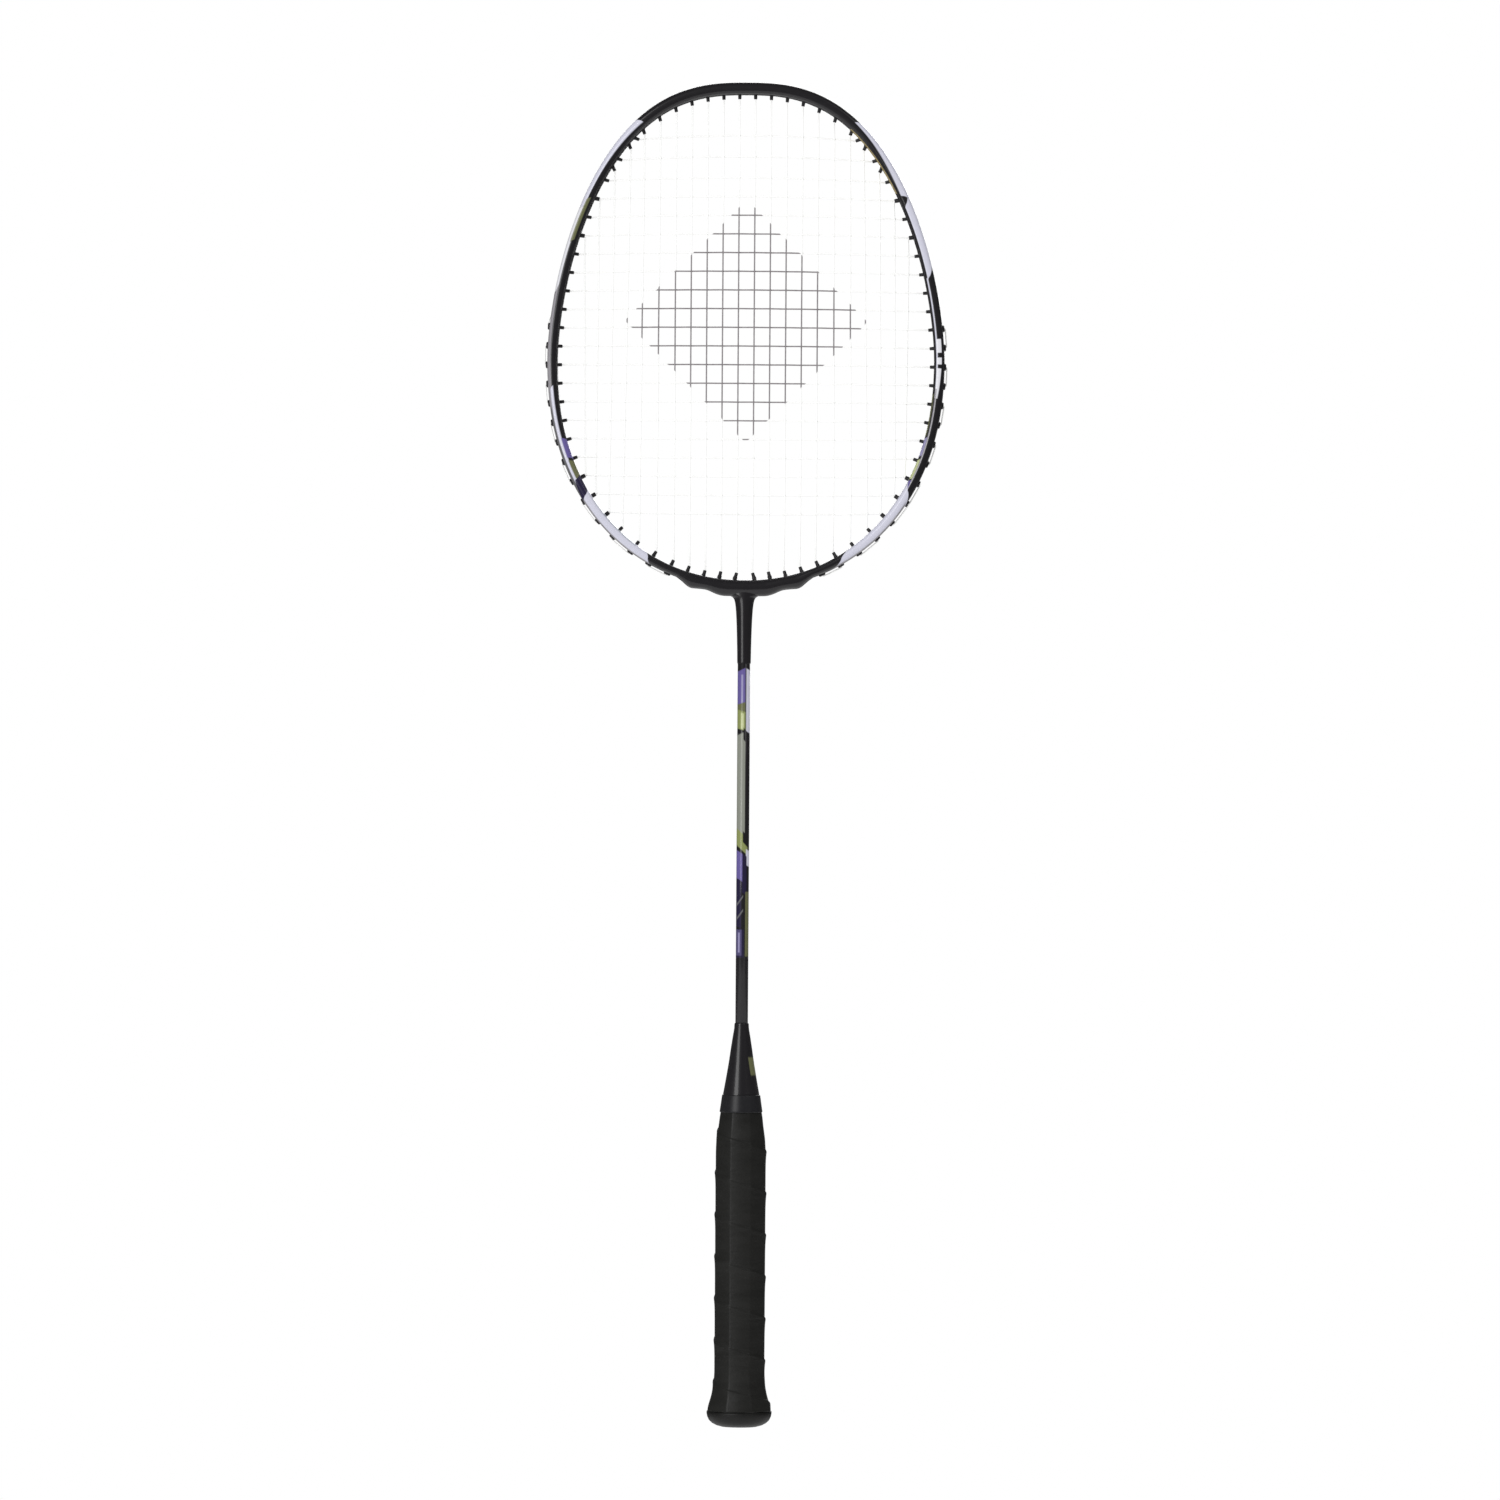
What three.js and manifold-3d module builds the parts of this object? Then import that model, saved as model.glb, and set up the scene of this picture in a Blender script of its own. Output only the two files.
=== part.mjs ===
// A strung badminton racket, built from the separate pieces of the real one.
// Millimetres. Z runs up the racket from the butt end at Z = 0, X runs across the face,
// and Y runs through it, so the racket's front looks along -Y.

import * as THREE from 'three';
import { mergeVertices } from 'three/addons/utils/BufferGeometryUtils.js';
import Module from 'manifold-3d';

const wasm = await Module();
wasm.setup();

// ---------- driving dimensions ----------

const OVERALL_LENGTH = 675;

// The head's outline is an oval of two halves that meet at its widest level.
const WIDEST_LEVEL = 536;
const HEAD_BOTTOM = 420.6;
const HEAD_HALF_WIDTH = 99.8;
const UPPER_HALF = { acrossPower: 2.6, upPower: 1.68 };
const LOWER_HALF = { acrossPower: 2.08, upPower: 2.24 };
const HEAD_OVAL = {
  side: HEAD_HALF_WIDTH,
  top: OVERALL_LENGTH - WIDEST_LEVEL,
  bottom: WIDEST_LEVEL - HEAD_BOTTOM,
};

// The hoop is a carbon shell moulded round a foam core, drawn as one solid, thickest at the crown.
const HOOP_WIDTH = { side: 5.4, top: 6.5, bottom: 4.6 };
const HOOP_DEPTH = 10.4;
const HOOP_ROUNDING = { across: 1.8, through: 2.6 };
const HOOP_WALL = 0.9;
const HOOP_POINTS = 64;
const GROOVE = { depth: 1.6, width: 3.2, end: WIDEST_LEVEL + 18 };
const GROOVE_POINTS = 46;

// Under the throat the hoop swells into two stepped pads, which cover the string loops there.
// Each pad is deep out to `inner`, slopes up to `outer`, runs level to `heel` and closes at `reach`;
// above `lap` and `root` it is sunk in the hoop.
const THROAT_PAD = { inner: 11, outer: 21.7, heel: 26.2, reach: 33 };
const PAD_LEVEL = { deep: 416.9, shallow: 420.4, heel: 420.7, end: 424.9, lap: 425.9, root: 423.6 };
const PAD_SLOPE_EASE = { across: 2.5, up: 0.5 };
const THROAT_PAD_DEPTH = 8.4;
const PAD_ROUNDING = { across: 0.6, through: 1 };
const THROAT_CHANNEL = { width: 3.6, from: 5, to: 36, steps: 8 };

const STEM_END = 383.4;
const STEM_RADIUS = 3.45;
const STEM_TOP = 423;
const SHAFT_RADIUS = 3.15;
const SHAFT_BORE = 2.2;
const SHAFT_FOOT = 92;
const TEE_RADIUS = 1.9;
const TEE_FOOT = 345;
const TEE_ARM_REACH = 18;
const TEE_ARM_DEPTH = 7.4;

const STRING_SIDE = 0.62;
const MAIN_COUNT = 11;
const MAIN_PITCH = 7.93;
const CROSS_COUNT = 21;
const CROSS_PITCH = 9.244;
const TOP_CROSS_LEVEL = 643.5;
const WEAVE_RISE = 1.06;
const NEAREST_CROSSING = 1.5;
const HOLE_OFFSET = 0.38;
const STRING_LIFT = 0.52;
const LOOP_STEP = 5;
const MOUTH_STEP = 0.6;
const MAIN_SETTLE = 4;

// Each string hole is drilled through the hoop and lined with a grommet barrel.
const HOLE_RADIUS = 1.4;
const BARREL_RADIUS = 1.15;
const BARREL_BORE = 0.88;
const BARREL_REACH = 2;
const SHOULDER_BARREL_REACH = 2.6;
const THROAT_BARREL_REACH = 3.4;
const FLANGE = { radius: 1.8, thickness: 0.85, chamfer: 0.3, gap: 0.1 };
const STRIP = { inner: 1.5, outer: 1, width: 2.6 };
const STRIP_ROOT = 0.3;
const HOLE_SIDES = 6;
const ROUND_SIDES = 16;
const SMALL_SIDES = 12;
const CROWN_MAINS = 7;
const LAST_STRIP_CROSS = 10;
const SINGLE_MAINS = 8;
const STRIP_GAP_ANGLE = 0.004;

const CONE_TIP = 202.4;
const CONE_FOOT = 146;
const CONE_SKIRT = 9.4;
const CONE_SKIRT_TOP = 166.6;
const HANDLE_TOP = 152;
const HANDLE_NECK = 8.2;
const HANDLE_SHOULDER = 143;
const BUTT_SWELL = 13.6;
const BUTT_TOP = 7.2;
const BUTT_RIM = 8;
const GRIP_FOOT = 8.3;
const GRIP_TOP = 157.9;
const GRIP_RADIUS = 12.9;
const GRIP_FLATTEN = 0.94;
const GRIP_CORNER_SHARE = 1.035;
const GRIP_THICKNESS = 1.9;
const TAPE = { top: 166.2, bottom: 158.4, topRadius: 9.55, bottomRadius: 10.3, thickness: 0.4 };

// Pieces that sit inside one another stand this far apart, and a bore is this much wider than its bar.
const GAP = 0.3;
const BORE_CLEARANCE = 0.2;
const NECK_CLEARANCE = 0.8;
const HANDLE_BORE_SPARE = 3;
// Cutting tools reach this far past what they cut.
const OVERCUT = 5;

// ---------- solids ----------

function solidFrom(geometry) {
  const bare = geometry.clone();
  bare.deleteAttribute('normal');
  bare.deleteAttribute('uv');
  const merged = mergeVertices(bare, 1e-4);
  const mesh = new wasm.Mesh({
    numProp: 3,
    vertProperties: new Float32Array(merged.attributes.position.array),
    triVerts: new Uint32Array(merged.index.array),
  });
  return new wasm.Manifold(mesh);
}

function geometryFrom(solid) {
  const mesh = solid.getMesh();
  const geometry = new THREE.BufferGeometry();
  geometry.setAttribute('position', new THREE.BufferAttribute(mesh.vertProperties, 3));
  geometry.setIndex(new THREE.BufferAttribute(mesh.triVerts, 1));
  const flat = geometry.toNonIndexed();
  flat.computeVertexNormals();
  return flat;
}

// Turns an outline drawn in X and Z into a slab of the given depth, centred on the face plane.
function slab(shape, depth, rounding) {
  const across = rounding ? rounding.across : 0;
  const through = rounding ? rounding.through : 0;
  const geometry = new THREE.ExtrudeGeometry(shape, {
    depth: depth - 2 * through,
    bevelEnabled: Boolean(rounding),
    bevelThickness: through,
    bevelSize: across,
    bevelOffset: -across,
    bevelSegments: 1,
  });
  geometry.translate(0, 0, through - depth / 2);
  geometry.rotateX(Math.PI / 2);
  return geometry;
}

function lathe(profile, sides) {
  const points = profile.map(([radius, level]) => new THREE.Vector2(radius, level));
  const geometry = new THREE.LatheGeometry(points, sides);
  geometry.rotateX(Math.PI / 2);
  return geometry;
}

// A solid round rod on the racket's own axis.
function rod(radius, bottom, top) {
  return solidFrom(lathe([[0, bottom], [radius, bottom], [radius, top], [0, top]], SMALL_SIDES));
}

// A round bar between two places in the face plane.
function bar(from, to, radius, sides) {
  const along = new THREE.Vector2().subVectors(to, from);
  const geometry = new THREE.CylinderGeometry(radius, radius, along.length(), sides);
  const turn = Math.atan2(along.y, along.x) - Math.PI / 2;
  geometry.rotateZ(turn);
  geometry.rotateX(Math.PI / 2);
  geometry.translate((from.x + to.x) / 2, 0, (from.y + to.y) / 2);
  return geometry;
}

// ---------- the head's oval ----------

function insetOval(oval, side, top = side, bottom = side) {
  return { side: oval.side - side, top: oval.top - top, bottom: oval.bottom - bottom };
}

function halfOf(oval, upper) {
  const powers = upper ? UPPER_HALF : LOWER_HALF;
  return { height: upper ? oval.top : oval.bottom, ...powers };
}

function ovalPoint(oval, angle) {
  const half = halfOf(oval, Math.sin(angle) >= 0);
  const across = Math.abs(Math.cos(angle)) ** (2 / half.acrossPower);
  const up = Math.abs(Math.sin(angle)) ** (2 / half.upPower);
  const x = Math.sign(Math.cos(angle)) * oval.side * across;
  const z = WIDEST_LEVEL + Math.sign(Math.sin(angle)) * half.height * up;
  return new THREE.Vector2(x, z);
}

function ovalLevel(oval, x, upper) {
  const half = halfOf(oval, upper);
  const rise = half.height * (1 - Math.abs(x / oval.side) ** half.acrossPower) ** (1 / half.upPower);
  return upper ? WIDEST_LEVEL + rise : WIDEST_LEVEL - rise;
}

function ovalReach(oval, z) {
  const half = halfOf(oval, z >= WIDEST_LEVEL);
  const up = Math.abs((z - WIDEST_LEVEL) / half.height) ** half.upPower;
  return oval.side * (1 - up) ** (1 / half.acrossPower);
}

function isInside(oval, point) {
  const half = halfOf(oval, point.y >= WIDEST_LEVEL);
  const across = Math.abs(point.x / oval.side) ** half.acrossPower;
  const up = Math.abs((point.y - WIDEST_LEVEL) / half.height) ** half.upPower;
  return across + up < 1;
}

function ovalNormal(oval, point) {
  const half = halfOf(oval, point.y >= WIDEST_LEVEL);
  const x = point.x / oval.side;
  const z = (point.y - WIDEST_LEVEL) / half.height;
  const across = Math.sign(x) * (half.acrossPower / oval.side) * Math.abs(x) ** (half.acrossPower - 1);
  const up = Math.sign(z) * (half.upPower / half.height) * Math.abs(z) ** (half.upPower - 1);
  return new THREE.Vector2(across, up).normalize();
}

// How far along a direction a ray from inside the oval leaves it.
function distanceOut(oval, origin, direction) {
  let near = 0;
  let far = 60;
  for (let step = 0; step < 40; step += 1) {
    const middle = (near + far) / 2;
    const point = origin.clone().addScaledVector(direction, middle);
    if (isInside(oval, point)) near = middle;
    else far = middle;
  }
  return near;
}

// The angle of the oval point that lies in a given direction from the middle of the head.
function ovalAngle(oval, point) {
  const half = halfOf(oval, point.y >= WIDEST_LEVEL);
  const across = Math.abs(point.x / oval.side) ** (half.acrossPower / 2);
  const up = Math.abs((point.y - WIDEST_LEVEL) / half.height) ** (half.upPower / 2);
  return Math.atan2(Math.sign(point.y - WIDEST_LEVEL) * up, Math.sign(point.x) * across);
}

function ovalPath(oval, points) {
  return Array.from({ length: points }, (_, i) => ovalPoint(oval, (2 * Math.PI * i) / points));
}

function ringShape(outerOval, innerOval, points) {
  const shape = new THREE.Shape(ovalPath(outerOval, points));
  shape.holes.push(new THREE.Path(ovalPath(innerOval, points).reverse()));
  return shape;
}

// A curved bar that follows the hoop between two angles.
function arcShape(outerOval, innerOval, from, to, points) {
  const angles = Array.from({ length: points }, (_, i) => from + ((to - from) * i) / (points - 1));
  const outer = angles.map((angle) => ovalPoint(outerOval, angle));
  const inner = angles.map((angle) => ovalPoint(innerOval, angle)).reverse();
  return new THREE.Shape([...outer, ...inner]);
}

const INNER_OVAL = insetOval(HEAD_OVAL, HOOP_WIDTH.side, HOOP_WIDTH.top, HOOP_WIDTH.bottom);
const TIP_OVAL = insetOval(INNER_OVAL, BARREL_REACH);
const CAVITY_OUTER = insetOval(HEAD_OVAL, HOOP_WALL);
const CAVITY_INNER = insetOval(INNER_OVAL, -HOOP_WALL);
const CAVITY_DEPTH = TEE_ARM_DEPTH + 2 * GAP;
const GROOVE_STRING_OVAL = insetOval(HEAD_OVAL, STRIP.outer - STRING_LIFT);

// ---------- string holes ----------

// The outermost mains share a hole with the cross that ends beside them.
const SHARED_TOP = new Map([[10, 4], [11, 6]]);
const SHARED_BOTTOM = new Map([[11, 19], [10, 20], [9, 21]]);
// Towards the corners a few holes stand off the even pitch: T and B holes outwards, C holes upwards.
const SPREAD = new Map([
  ['T8', -1],
  ['T9', -1],
  ['C1', 2.3],
  ['C2', 1.2],
  ['B6', 0.8],
  ['B7', 1.6],
  ['B8', 2],
]);
const THROAT_SPLAY = 0.28;

function mainX(name, number) {
  return (number - 0.5) * MAIN_PITCH + (SPREAD.get(name) ?? 0);
}

function crossLevel(name, number) {
  return TOP_CROSS_LEVEL - (number - 1) * CROSS_PITCH + (SPREAD.get(name) ?? 0);
}

function makeHole(name, tip, direction) {
  const axis = direction.clone().normalize();
  const grooved = tip.y > GROOVE.end;
  const surface = distanceOut(HEAD_OVAL, tip, axis);
  const upright = ovalNormal(HEAD_OVAL, tip.clone().addScaledVector(axis, surface));
  const tilt = Math.acos(Math.min(1, axis.dot(upright)));
  const seat = surface + FLANGE.gap + FLANGE.radius * Math.tan(tilt);
  const lift = grooved
    ? distanceOut(GROOVE_STRING_OVAL, tip, axis)
    : seat + FLANGE.thickness + STRING_LIFT;
  const exit = tip.clone().addScaledVector(axis, lift);
  const mouth = tip.clone().addScaledVector(axis, -MOUTH_STEP);
  return { name, tip, mouth, axis, seat, exit, grooved };
}

function topMainHole(number) {
  const name = `T${number}`;
  const x = mainX(name, number);
  const tip = new THREE.Vector2(x, ovalLevel(TIP_OVAL, x, true));
  return makeHole(name, tip, ovalNormal(TIP_OVAL, tip).add(new THREE.Vector2(0, 1)));
}

// The barrels at the throat stand out further, the two nearest the middle most.
function bottomReach(number) {
  if (number <= 2) return THROAT_BARREL_REACH;
  return number <= 6 ? SHOULDER_BARREL_REACH : BARREL_REACH;
}

function bottomMainHole(number) {
  const name = `B${number}`;
  const x = mainX(name, number);
  const tip = new THREE.Vector2(x, ovalLevel(insetOval(INNER_OVAL, bottomReach(number)), x, false));
  const splay = new THREE.Vector2(THROAT_SPLAY / number, 0);
  return makeHole(name, tip, ovalNormal(HEAD_OVAL, tip).add(splay));
}

function crossHole(number) {
  const name = `C${number}`;
  const z = crossLevel(name, number);
  const tip = new THREE.Vector2(ovalReach(TIP_OVAL, z), z);
  const lean = new THREE.Vector2(tip.y > GROOVE.end ? 1 : 0, 0);
  return makeHole(name, tip, ovalNormal(TIP_OVAL, tip).add(lean));
}

// The right half's holes by name: T for top mains, C for crosses, B for bottom mains.
function rightHoles() {
  const holes = new Map();
  for (let main = 1; main <= MAIN_COUNT; main += 1) {
    if (!SHARED_TOP.has(main)) holes.set(`T${main}`, topMainHole(main));
    if (!SHARED_BOTTOM.has(main)) holes.set(`B${main}`, bottomMainHole(main));
  }
  for (let cross = 1; cross <= CROSS_COUNT; cross += 1) holes.set(`C${cross}`, crossHole(cross));
  return holes;
}

function mirrorPoint(point) {
  return new THREE.Vector2(-point.x, point.y);
}

function mirrorHole(hole) {
  return {
    ...hole,
    tip: mirrorPoint(hole.tip),
    mouth: mirrorPoint(hole.mouth),
    axis: mirrorPoint(hole.axis),
    exit: mirrorPoint(hole.exit),
  };
}

const RIGHT = rightHoles();
const LEFT = new Map([...RIGHT].map(([name, hole]) => [name, mirrorHole(hole)]));
const ALL_HOLES = [...RIGHT.values(), ...LEFT.values()];

function alongHole(hole, distance) {
  return hole.tip.clone().addScaledVector(hole.axis, distance);
}

// ---------- head frame ----------

function throatPadShape() {
  const pad = THROAT_PAD;
  const level = PAD_LEVEL;
  const right = [
    [0, level.deep],
    [pad.inner, level.deep],
    [pad.inner + PAD_SLOPE_EASE.across, level.deep + PAD_SLOPE_EASE.up],
    [pad.outer - PAD_SLOPE_EASE.across, level.shallow - PAD_SLOPE_EASE.up],
    [pad.outer, level.shallow],
    [pad.heel, level.heel],
    [pad.reach, level.end],
    [pad.reach, level.lap],
    [0, level.root],
  ];
  const left = right.slice(1, -1).map(([x, z]) => [-x, z]).reverse();
  return new THREE.Shape([...right, ...left].map(([x, z]) => new THREE.Vector2(x, z)));
}

// The stem narrows from the hoop down to the shaft.
const STEM_PROFILE = [
  [STEM_RADIUS, STEM_END],
  [3.55, 394],
  [3.75, 401],
  [4.1, 406],
  [4.5, 412],
  [4.9, 415],
  [6, 417.6],
  [6.4, STEM_TOP],
];

function hoopBody() {
  const ring = ringShape(HEAD_OVAL, INNER_OVAL, HOOP_POINTS);
  const hoop = solidFrom(slab(ring, HOOP_DEPTH, HOOP_ROUNDING));
  const pad = solidFrom(slab(throatPadShape(), THROAT_PAD_DEPTH, PAD_ROUNDING));
  const stem = solidFrom(lathe([[0, STEM_END], ...STEM_PROFILE, [0, STEM_TOP]], ROUND_SIDES));
  // The stem's flare is no thicker through the racket than the pads.
  const slice = new THREE.BoxGeometry(2 * THROAT_PAD.inner, THROAT_PAD_DEPTH, 2 * OVERALL_LENGTH);
  return hoop.add(pad).add(stem.intersect(solidFrom(slice)));
}

function grooveCutter() {
  const outer = insetOval(HEAD_OVAL, -OVERCUT);
  const floor = insetOval(HEAD_OVAL, GROOVE.depth);
  const end = ovalAngle(floor, new THREE.Vector2(ovalReach(floor, GROOVE.end), GROOVE.end));
  return solidFrom(slab(arcShape(outer, floor, end, Math.PI - end, GROOVE_POINTS), GROOVE.width));
}

// The string loops at the throat lie in this channel, between the pad's two cheeks.
function throatChannel(side) {
  const { width, from, to, steps } = THROAT_CHANNEL;
  const floor = PAD_LEVEL.deep - OVERCUT;
  const above = Array.from({ length: steps + 1 }, (_, i) => from + ((to - from) * i) / steps);
  const roof = above.map((x) => [side * x, ovalLevel(HEAD_OVAL, x, false)]);
  const outline = [...roof, [side * to, floor], [side * from, floor]];
  return solidFrom(slab(new THREE.Shape(outline.map(([x, z]) => new THREE.Vector2(x, z))), width));
}

// A curved bar in the bottom of the hoop, reaching equally far to both sides.
function throatArc(outer, inner, reach) {
  const side = ovalAngle(outer, new THREE.Vector2(reach, ovalLevel(outer, reach, false)));
  return arcShape(outer, inner, -Math.PI - side, side, 7);
}

function headFrame() {
  let frame = hoopBody();
  frame = frame.subtract(grooveCutter());
  frame = frame.subtract(throatChannel(1)).subtract(throatChannel(-1));
  const pocket = throatArc(CAVITY_OUTER, CAVITY_INNER, TEE_ARM_REACH + GAP);
  frame = frame.subtract(solidFrom(slab(pocket, CAVITY_DEPTH)));
  frame = frame.subtract(rod(SHAFT_BORE, STEM_END - OVERCUT, STEM_TOP));
  for (const hole of ALL_HOLES) {
    const drill = bar(hole.tip, alongHole(hole, hole.seat + OVERCUT), HOLE_RADIUS, HOLE_SIDES);
    frame = frame.subtract(solidFrom(drill));
  }
  return geometryFrom(frame);
}

// ---------- T-joint ----------

function tJoint() {
  const outer = insetOval(CAVITY_OUTER, GAP);
  const inner = insetOval(CAVITY_INNER, -GAP);
  const arms = solidFrom(slab(throatArc(outer, inner, TEE_ARM_REACH), TEE_ARM_DEPTH));
  const armLevel = WIDEST_LEVEL - (outer.bottom + inner.bottom) / 2;
  let tee = arms.add(rod(TEE_RADIUS, TEE_FOOT, armLevel));
  for (const hole of [RIGHT.get('B1'), RIGHT.get('B2'), LEFT.get('B1'), LEFT.get('B2')]) {
    const drill = bar(hole.tip, alongHole(hole, hole.seat + OVERCUT), HOLE_RADIUS, HOLE_SIDES);
    tee = tee.subtract(solidFrom(drill));
  }
  return geometryFrom(tee);
}

// ---------- grommets ----------

function grommet(hole) {
  const head = hole.seat;
  const rim = head + FLANGE.thickness;
  const profile = [
    [BARREL_BORE, 0],
    [BARREL_RADIUS, 0],
    [BARREL_RADIUS, head],
    [FLANGE.radius, head],
    [FLANGE.radius - FLANGE.chamfer, rim],
    [BARREL_BORE, rim],
    [BARREL_BORE, 0],
  ];
  const points = profile.map(([radius, along]) => new THREE.Vector2(radius, along));
  const geometry = new THREE.LatheGeometry(points, HOLE_SIDES);
  geometry.rotateZ(Math.atan2(hole.axis.y, hole.axis.x) - Math.PI / 2);
  geometry.rotateX(Math.PI / 2);
  geometry.translate(hole.tip.x, 0, hole.tip.y);
  return geometry;
}

// A strip is a thin web on the groove's floor with one barrel for each hole.
function grommetStrip(holes, from, to) {
  const outer = insetOval(HEAD_OVAL, STRIP.outer);
  const inner = insetOval(HEAD_OVAL, STRIP.inner);
  const points = 2 + holes.length * 2;
  let strip = solidFrom(slab(arcShape(outer, inner, from, to, points), STRIP.width));
  for (const hole of holes) {
    const web = distanceOut(inner, hole.tip, hole.axis) + STRIP_ROOT;
    strip = strip.add(solidFrom(bar(hole.tip, alongHole(hole, web), BARREL_RADIUS, HOLE_SIDES)));
  }
  for (const hole of holes) {
    const bore = bar(alongHole(hole, -OVERCUT), alongHole(hole, 4 * OVERCUT), BARREL_BORE, HOLE_SIDES);
    strip = strip.subtract(solidFrom(bore));
  }
  return geometryFrom(strip);
}

function angleBetween(first, second) {
  const middle = first.exit.clone().add(second.exit).divideScalar(2);
  return ovalAngle(HEAD_OVAL, middle);
}

// ---------- strings ----------

// A path that goes straight from one place to the next, with one section at each.
class Route extends THREE.Curve {
  constructor(places) {
    super();
    this.places = places;
  }

  getPointAt(u, target = new THREE.Vector3()) {
    return target.copy(this.places[Math.round(u * (this.places.length - 1))]);
  }

  getTangentAt(u, target = new THREE.Vector3()) {
    const last = this.places.length - 1;
    const here = Math.round(u * last);
    const before = this.places[Math.max(here - 1, 0)];
    const after = this.places[Math.min(here + 1, last)];
    const place = this.places[here];
    const incoming = new THREE.Vector3().subVectors(place, before).normalize();
    const outgoing = new THREE.Vector3().subVectors(after, place).normalize();
    return target.copy(incoming.add(outgoing)).normalize();
  }
}

function stringAlong(places) {
  const half = STRING_SIDE / 2;
  const corners = [[-half, -half], [half, -half], [half, half], [-half, half]];
  const section = new THREE.Shape(corners.map(([x, y]) => new THREE.Vector2(x, y)));
  return new THREE.ExtrudeGeometry(section, {
    steps: places.length - 1,
    extrudePath: new Route(places),
    bevelEnabled: false,
  });
}

function place(point, y) {
  return new THREE.Vector3(point.x, y, point.y);
}

// The string's way round the outside of the hoop from one hole to the next.
function loopPlaces(first, second, y) {
  const from = ovalAngle(HEAD_OVAL, first.exit);
  let turn = ovalAngle(HEAD_OVAL, second.exit) - from;
  if (turn > Math.PI) turn -= 2 * Math.PI;
  if (turn < -Math.PI) turn += 2 * Math.PI;
  const steps = Math.ceil(first.exit.distanceTo(second.exit) / LOOP_STEP);
  const places = [];
  for (let step = 1; step < steps; step += 1) {
    places.push(place(ovalPoint(GROOVE_STRING_OVAL, from + (turn * step) / steps), y));
  }
  return first.grooved && second.grooved ? places : [];
}

function topHoleOf(side, main) {
  const holes = side > 0 ? RIGHT : LEFT;
  return holes.get(SHARED_TOP.has(main) ? `C${SHARED_TOP.get(main)}` : `T${main}`);
}

function bottomHoleOf(side, main) {
  const holes = side > 0 ? RIGHT : LEFT;
  return holes.get(SHARED_BOTTOM.has(main) ? `C${SHARED_BOTTOM.get(main)}` : `B${main}`);
}

function runInward(hole, distance, target, y) {
  const step = target.clone().sub(hole.tip).normalize().multiplyScalar(distance);
  return place(hole.tip.clone().add(step), y);
}

function mainString() {
  const order = [];
  for (let main = MAIN_COUNT; main >= 1; main -= 1) order.push([-1, main]);
  for (let main = 1; main <= MAIN_COUNT; main += 1) order.push([1, main]);
  const places = [];
  let previous = null;
  order.forEach(([side, main], index) => {
    const top = topHoleOf(side, main);
    const bottom = bottomHoleOf(side, main);
    const [start, end] = index % 2 === 0 ? [bottom, top] : [top, bottom];
    if (previous) places.push(...loopPlaces(previous, start, -HOLE_OFFSET));
    places.push(place(start.exit, -HOLE_OFFSET));
    places.push(place(start.mouth, -HOLE_OFFSET));
    places.push(runInward(start, MAIN_SETTLE, end.tip, 0));
    places.push(runInward(end, MAIN_SETTLE, start.tip, 0));
    places.push(place(end.mouth, -HOLE_OFFSET));
    places.push(place(end.exit, -HOLE_OFFSET));
    previous = end;
  });
  return stringAlong(places);
}

// Where main number `main` crosses the line of a cross, or null where it doesn't reach it.
function crossingX(side, main, left, right) {
  const top = topHoleOf(side, main).tip;
  const bottom = bottomHoleOf(side, main).tip;
  const share = (left.tip.y - bottom.y) / (top.y - bottom.y);
  if (share < 0.01 || share > 0.99) return null;
  const x = bottom.x + (top.x - bottom.x) * share;
  return Math.abs(x) < right.tip.x - NEAREST_CROSSING ? x : null;
}

function crossString() {
  const places = [];
  let previous = null;
  for (let cross = 1; cross <= CROSS_COUNT; cross += 1) {
    const left = LEFT.get(`C${cross}`);
    const right = RIGHT.get(`C${cross}`);
    const woven = [];
    for (let main = -MAIN_COUNT; main <= MAIN_COUNT; main += 1) {
      const x = main === 0 ? null : crossingX(Math.sign(main), Math.abs(main), left, right);
      const over = (main + (main > 0 ? 1 : 0) + cross) % 2 === 0 ? 1 : -1;
      if (x !== null) woven.push(new THREE.Vector3(x, over * WEAVE_RISE, left.tip.y));
    }
    const goesRight = cross % 2 === 1;
    const [start, end] = goesRight ? [left, right] : [right, left];
    if (!goesRight) woven.reverse();
    if (previous) places.push(...loopPlaces(previous, start, HOLE_OFFSET));
    places.push(place(start.exit, HOLE_OFFSET), place(start.mouth, HOLE_OFFSET), ...woven);
    places.push(place(end.mouth, HOLE_OFFSET), place(end.exit, HOLE_OFFSET));
    previous = end;
  }
  return stringAlong(places);
}

// ---------- shaft and handle ----------

function shaft() {
  const top = STEM_END - GAP;
  const profile = [
    [SHAFT_BORE, SHAFT_FOOT],
    [SHAFT_RADIUS, SHAFT_FOOT],
    [SHAFT_RADIUS, top],
    [SHAFT_BORE, top],
    [SHAFT_BORE, SHAFT_FOOT],
  ];
  return lathe(profile, ROUND_SIDES);
}

// The cone's outside above its skirt.
const CONE_SLOPE = [
  [9, 168],
  [8.3, 171],
  [7.3, 177],
  [6.2, 183],
  [5.45, 189],
  [4.45, 195.2],
  [3.75, 199.6],
  [3.6, CONE_TIP],
];

// The cone's skirt is a step smaller, so that the finishing tape lies flush on it.
function coneCap() {
  const bore = SHAFT_RADIUS + BORE_CLEARANCE;
  const neckBore = HANDLE_NECK + NECK_CLEARANCE;
  const profile = [
    [bore, CONE_TIP],
    [bore, HANDLE_TOP + GAP],
    [neckBore, HANDLE_TOP + GAP],
    [neckBore, CONE_FOOT],
    [CONE_SKIRT, CONE_FOOT],
    [CONE_SKIRT, CONE_SKIRT_TOP],
    ...CONE_SLOPE,
    [bore, CONE_TIP],
  ];
  return lathe(profile, ROUND_SIDES);
}

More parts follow.
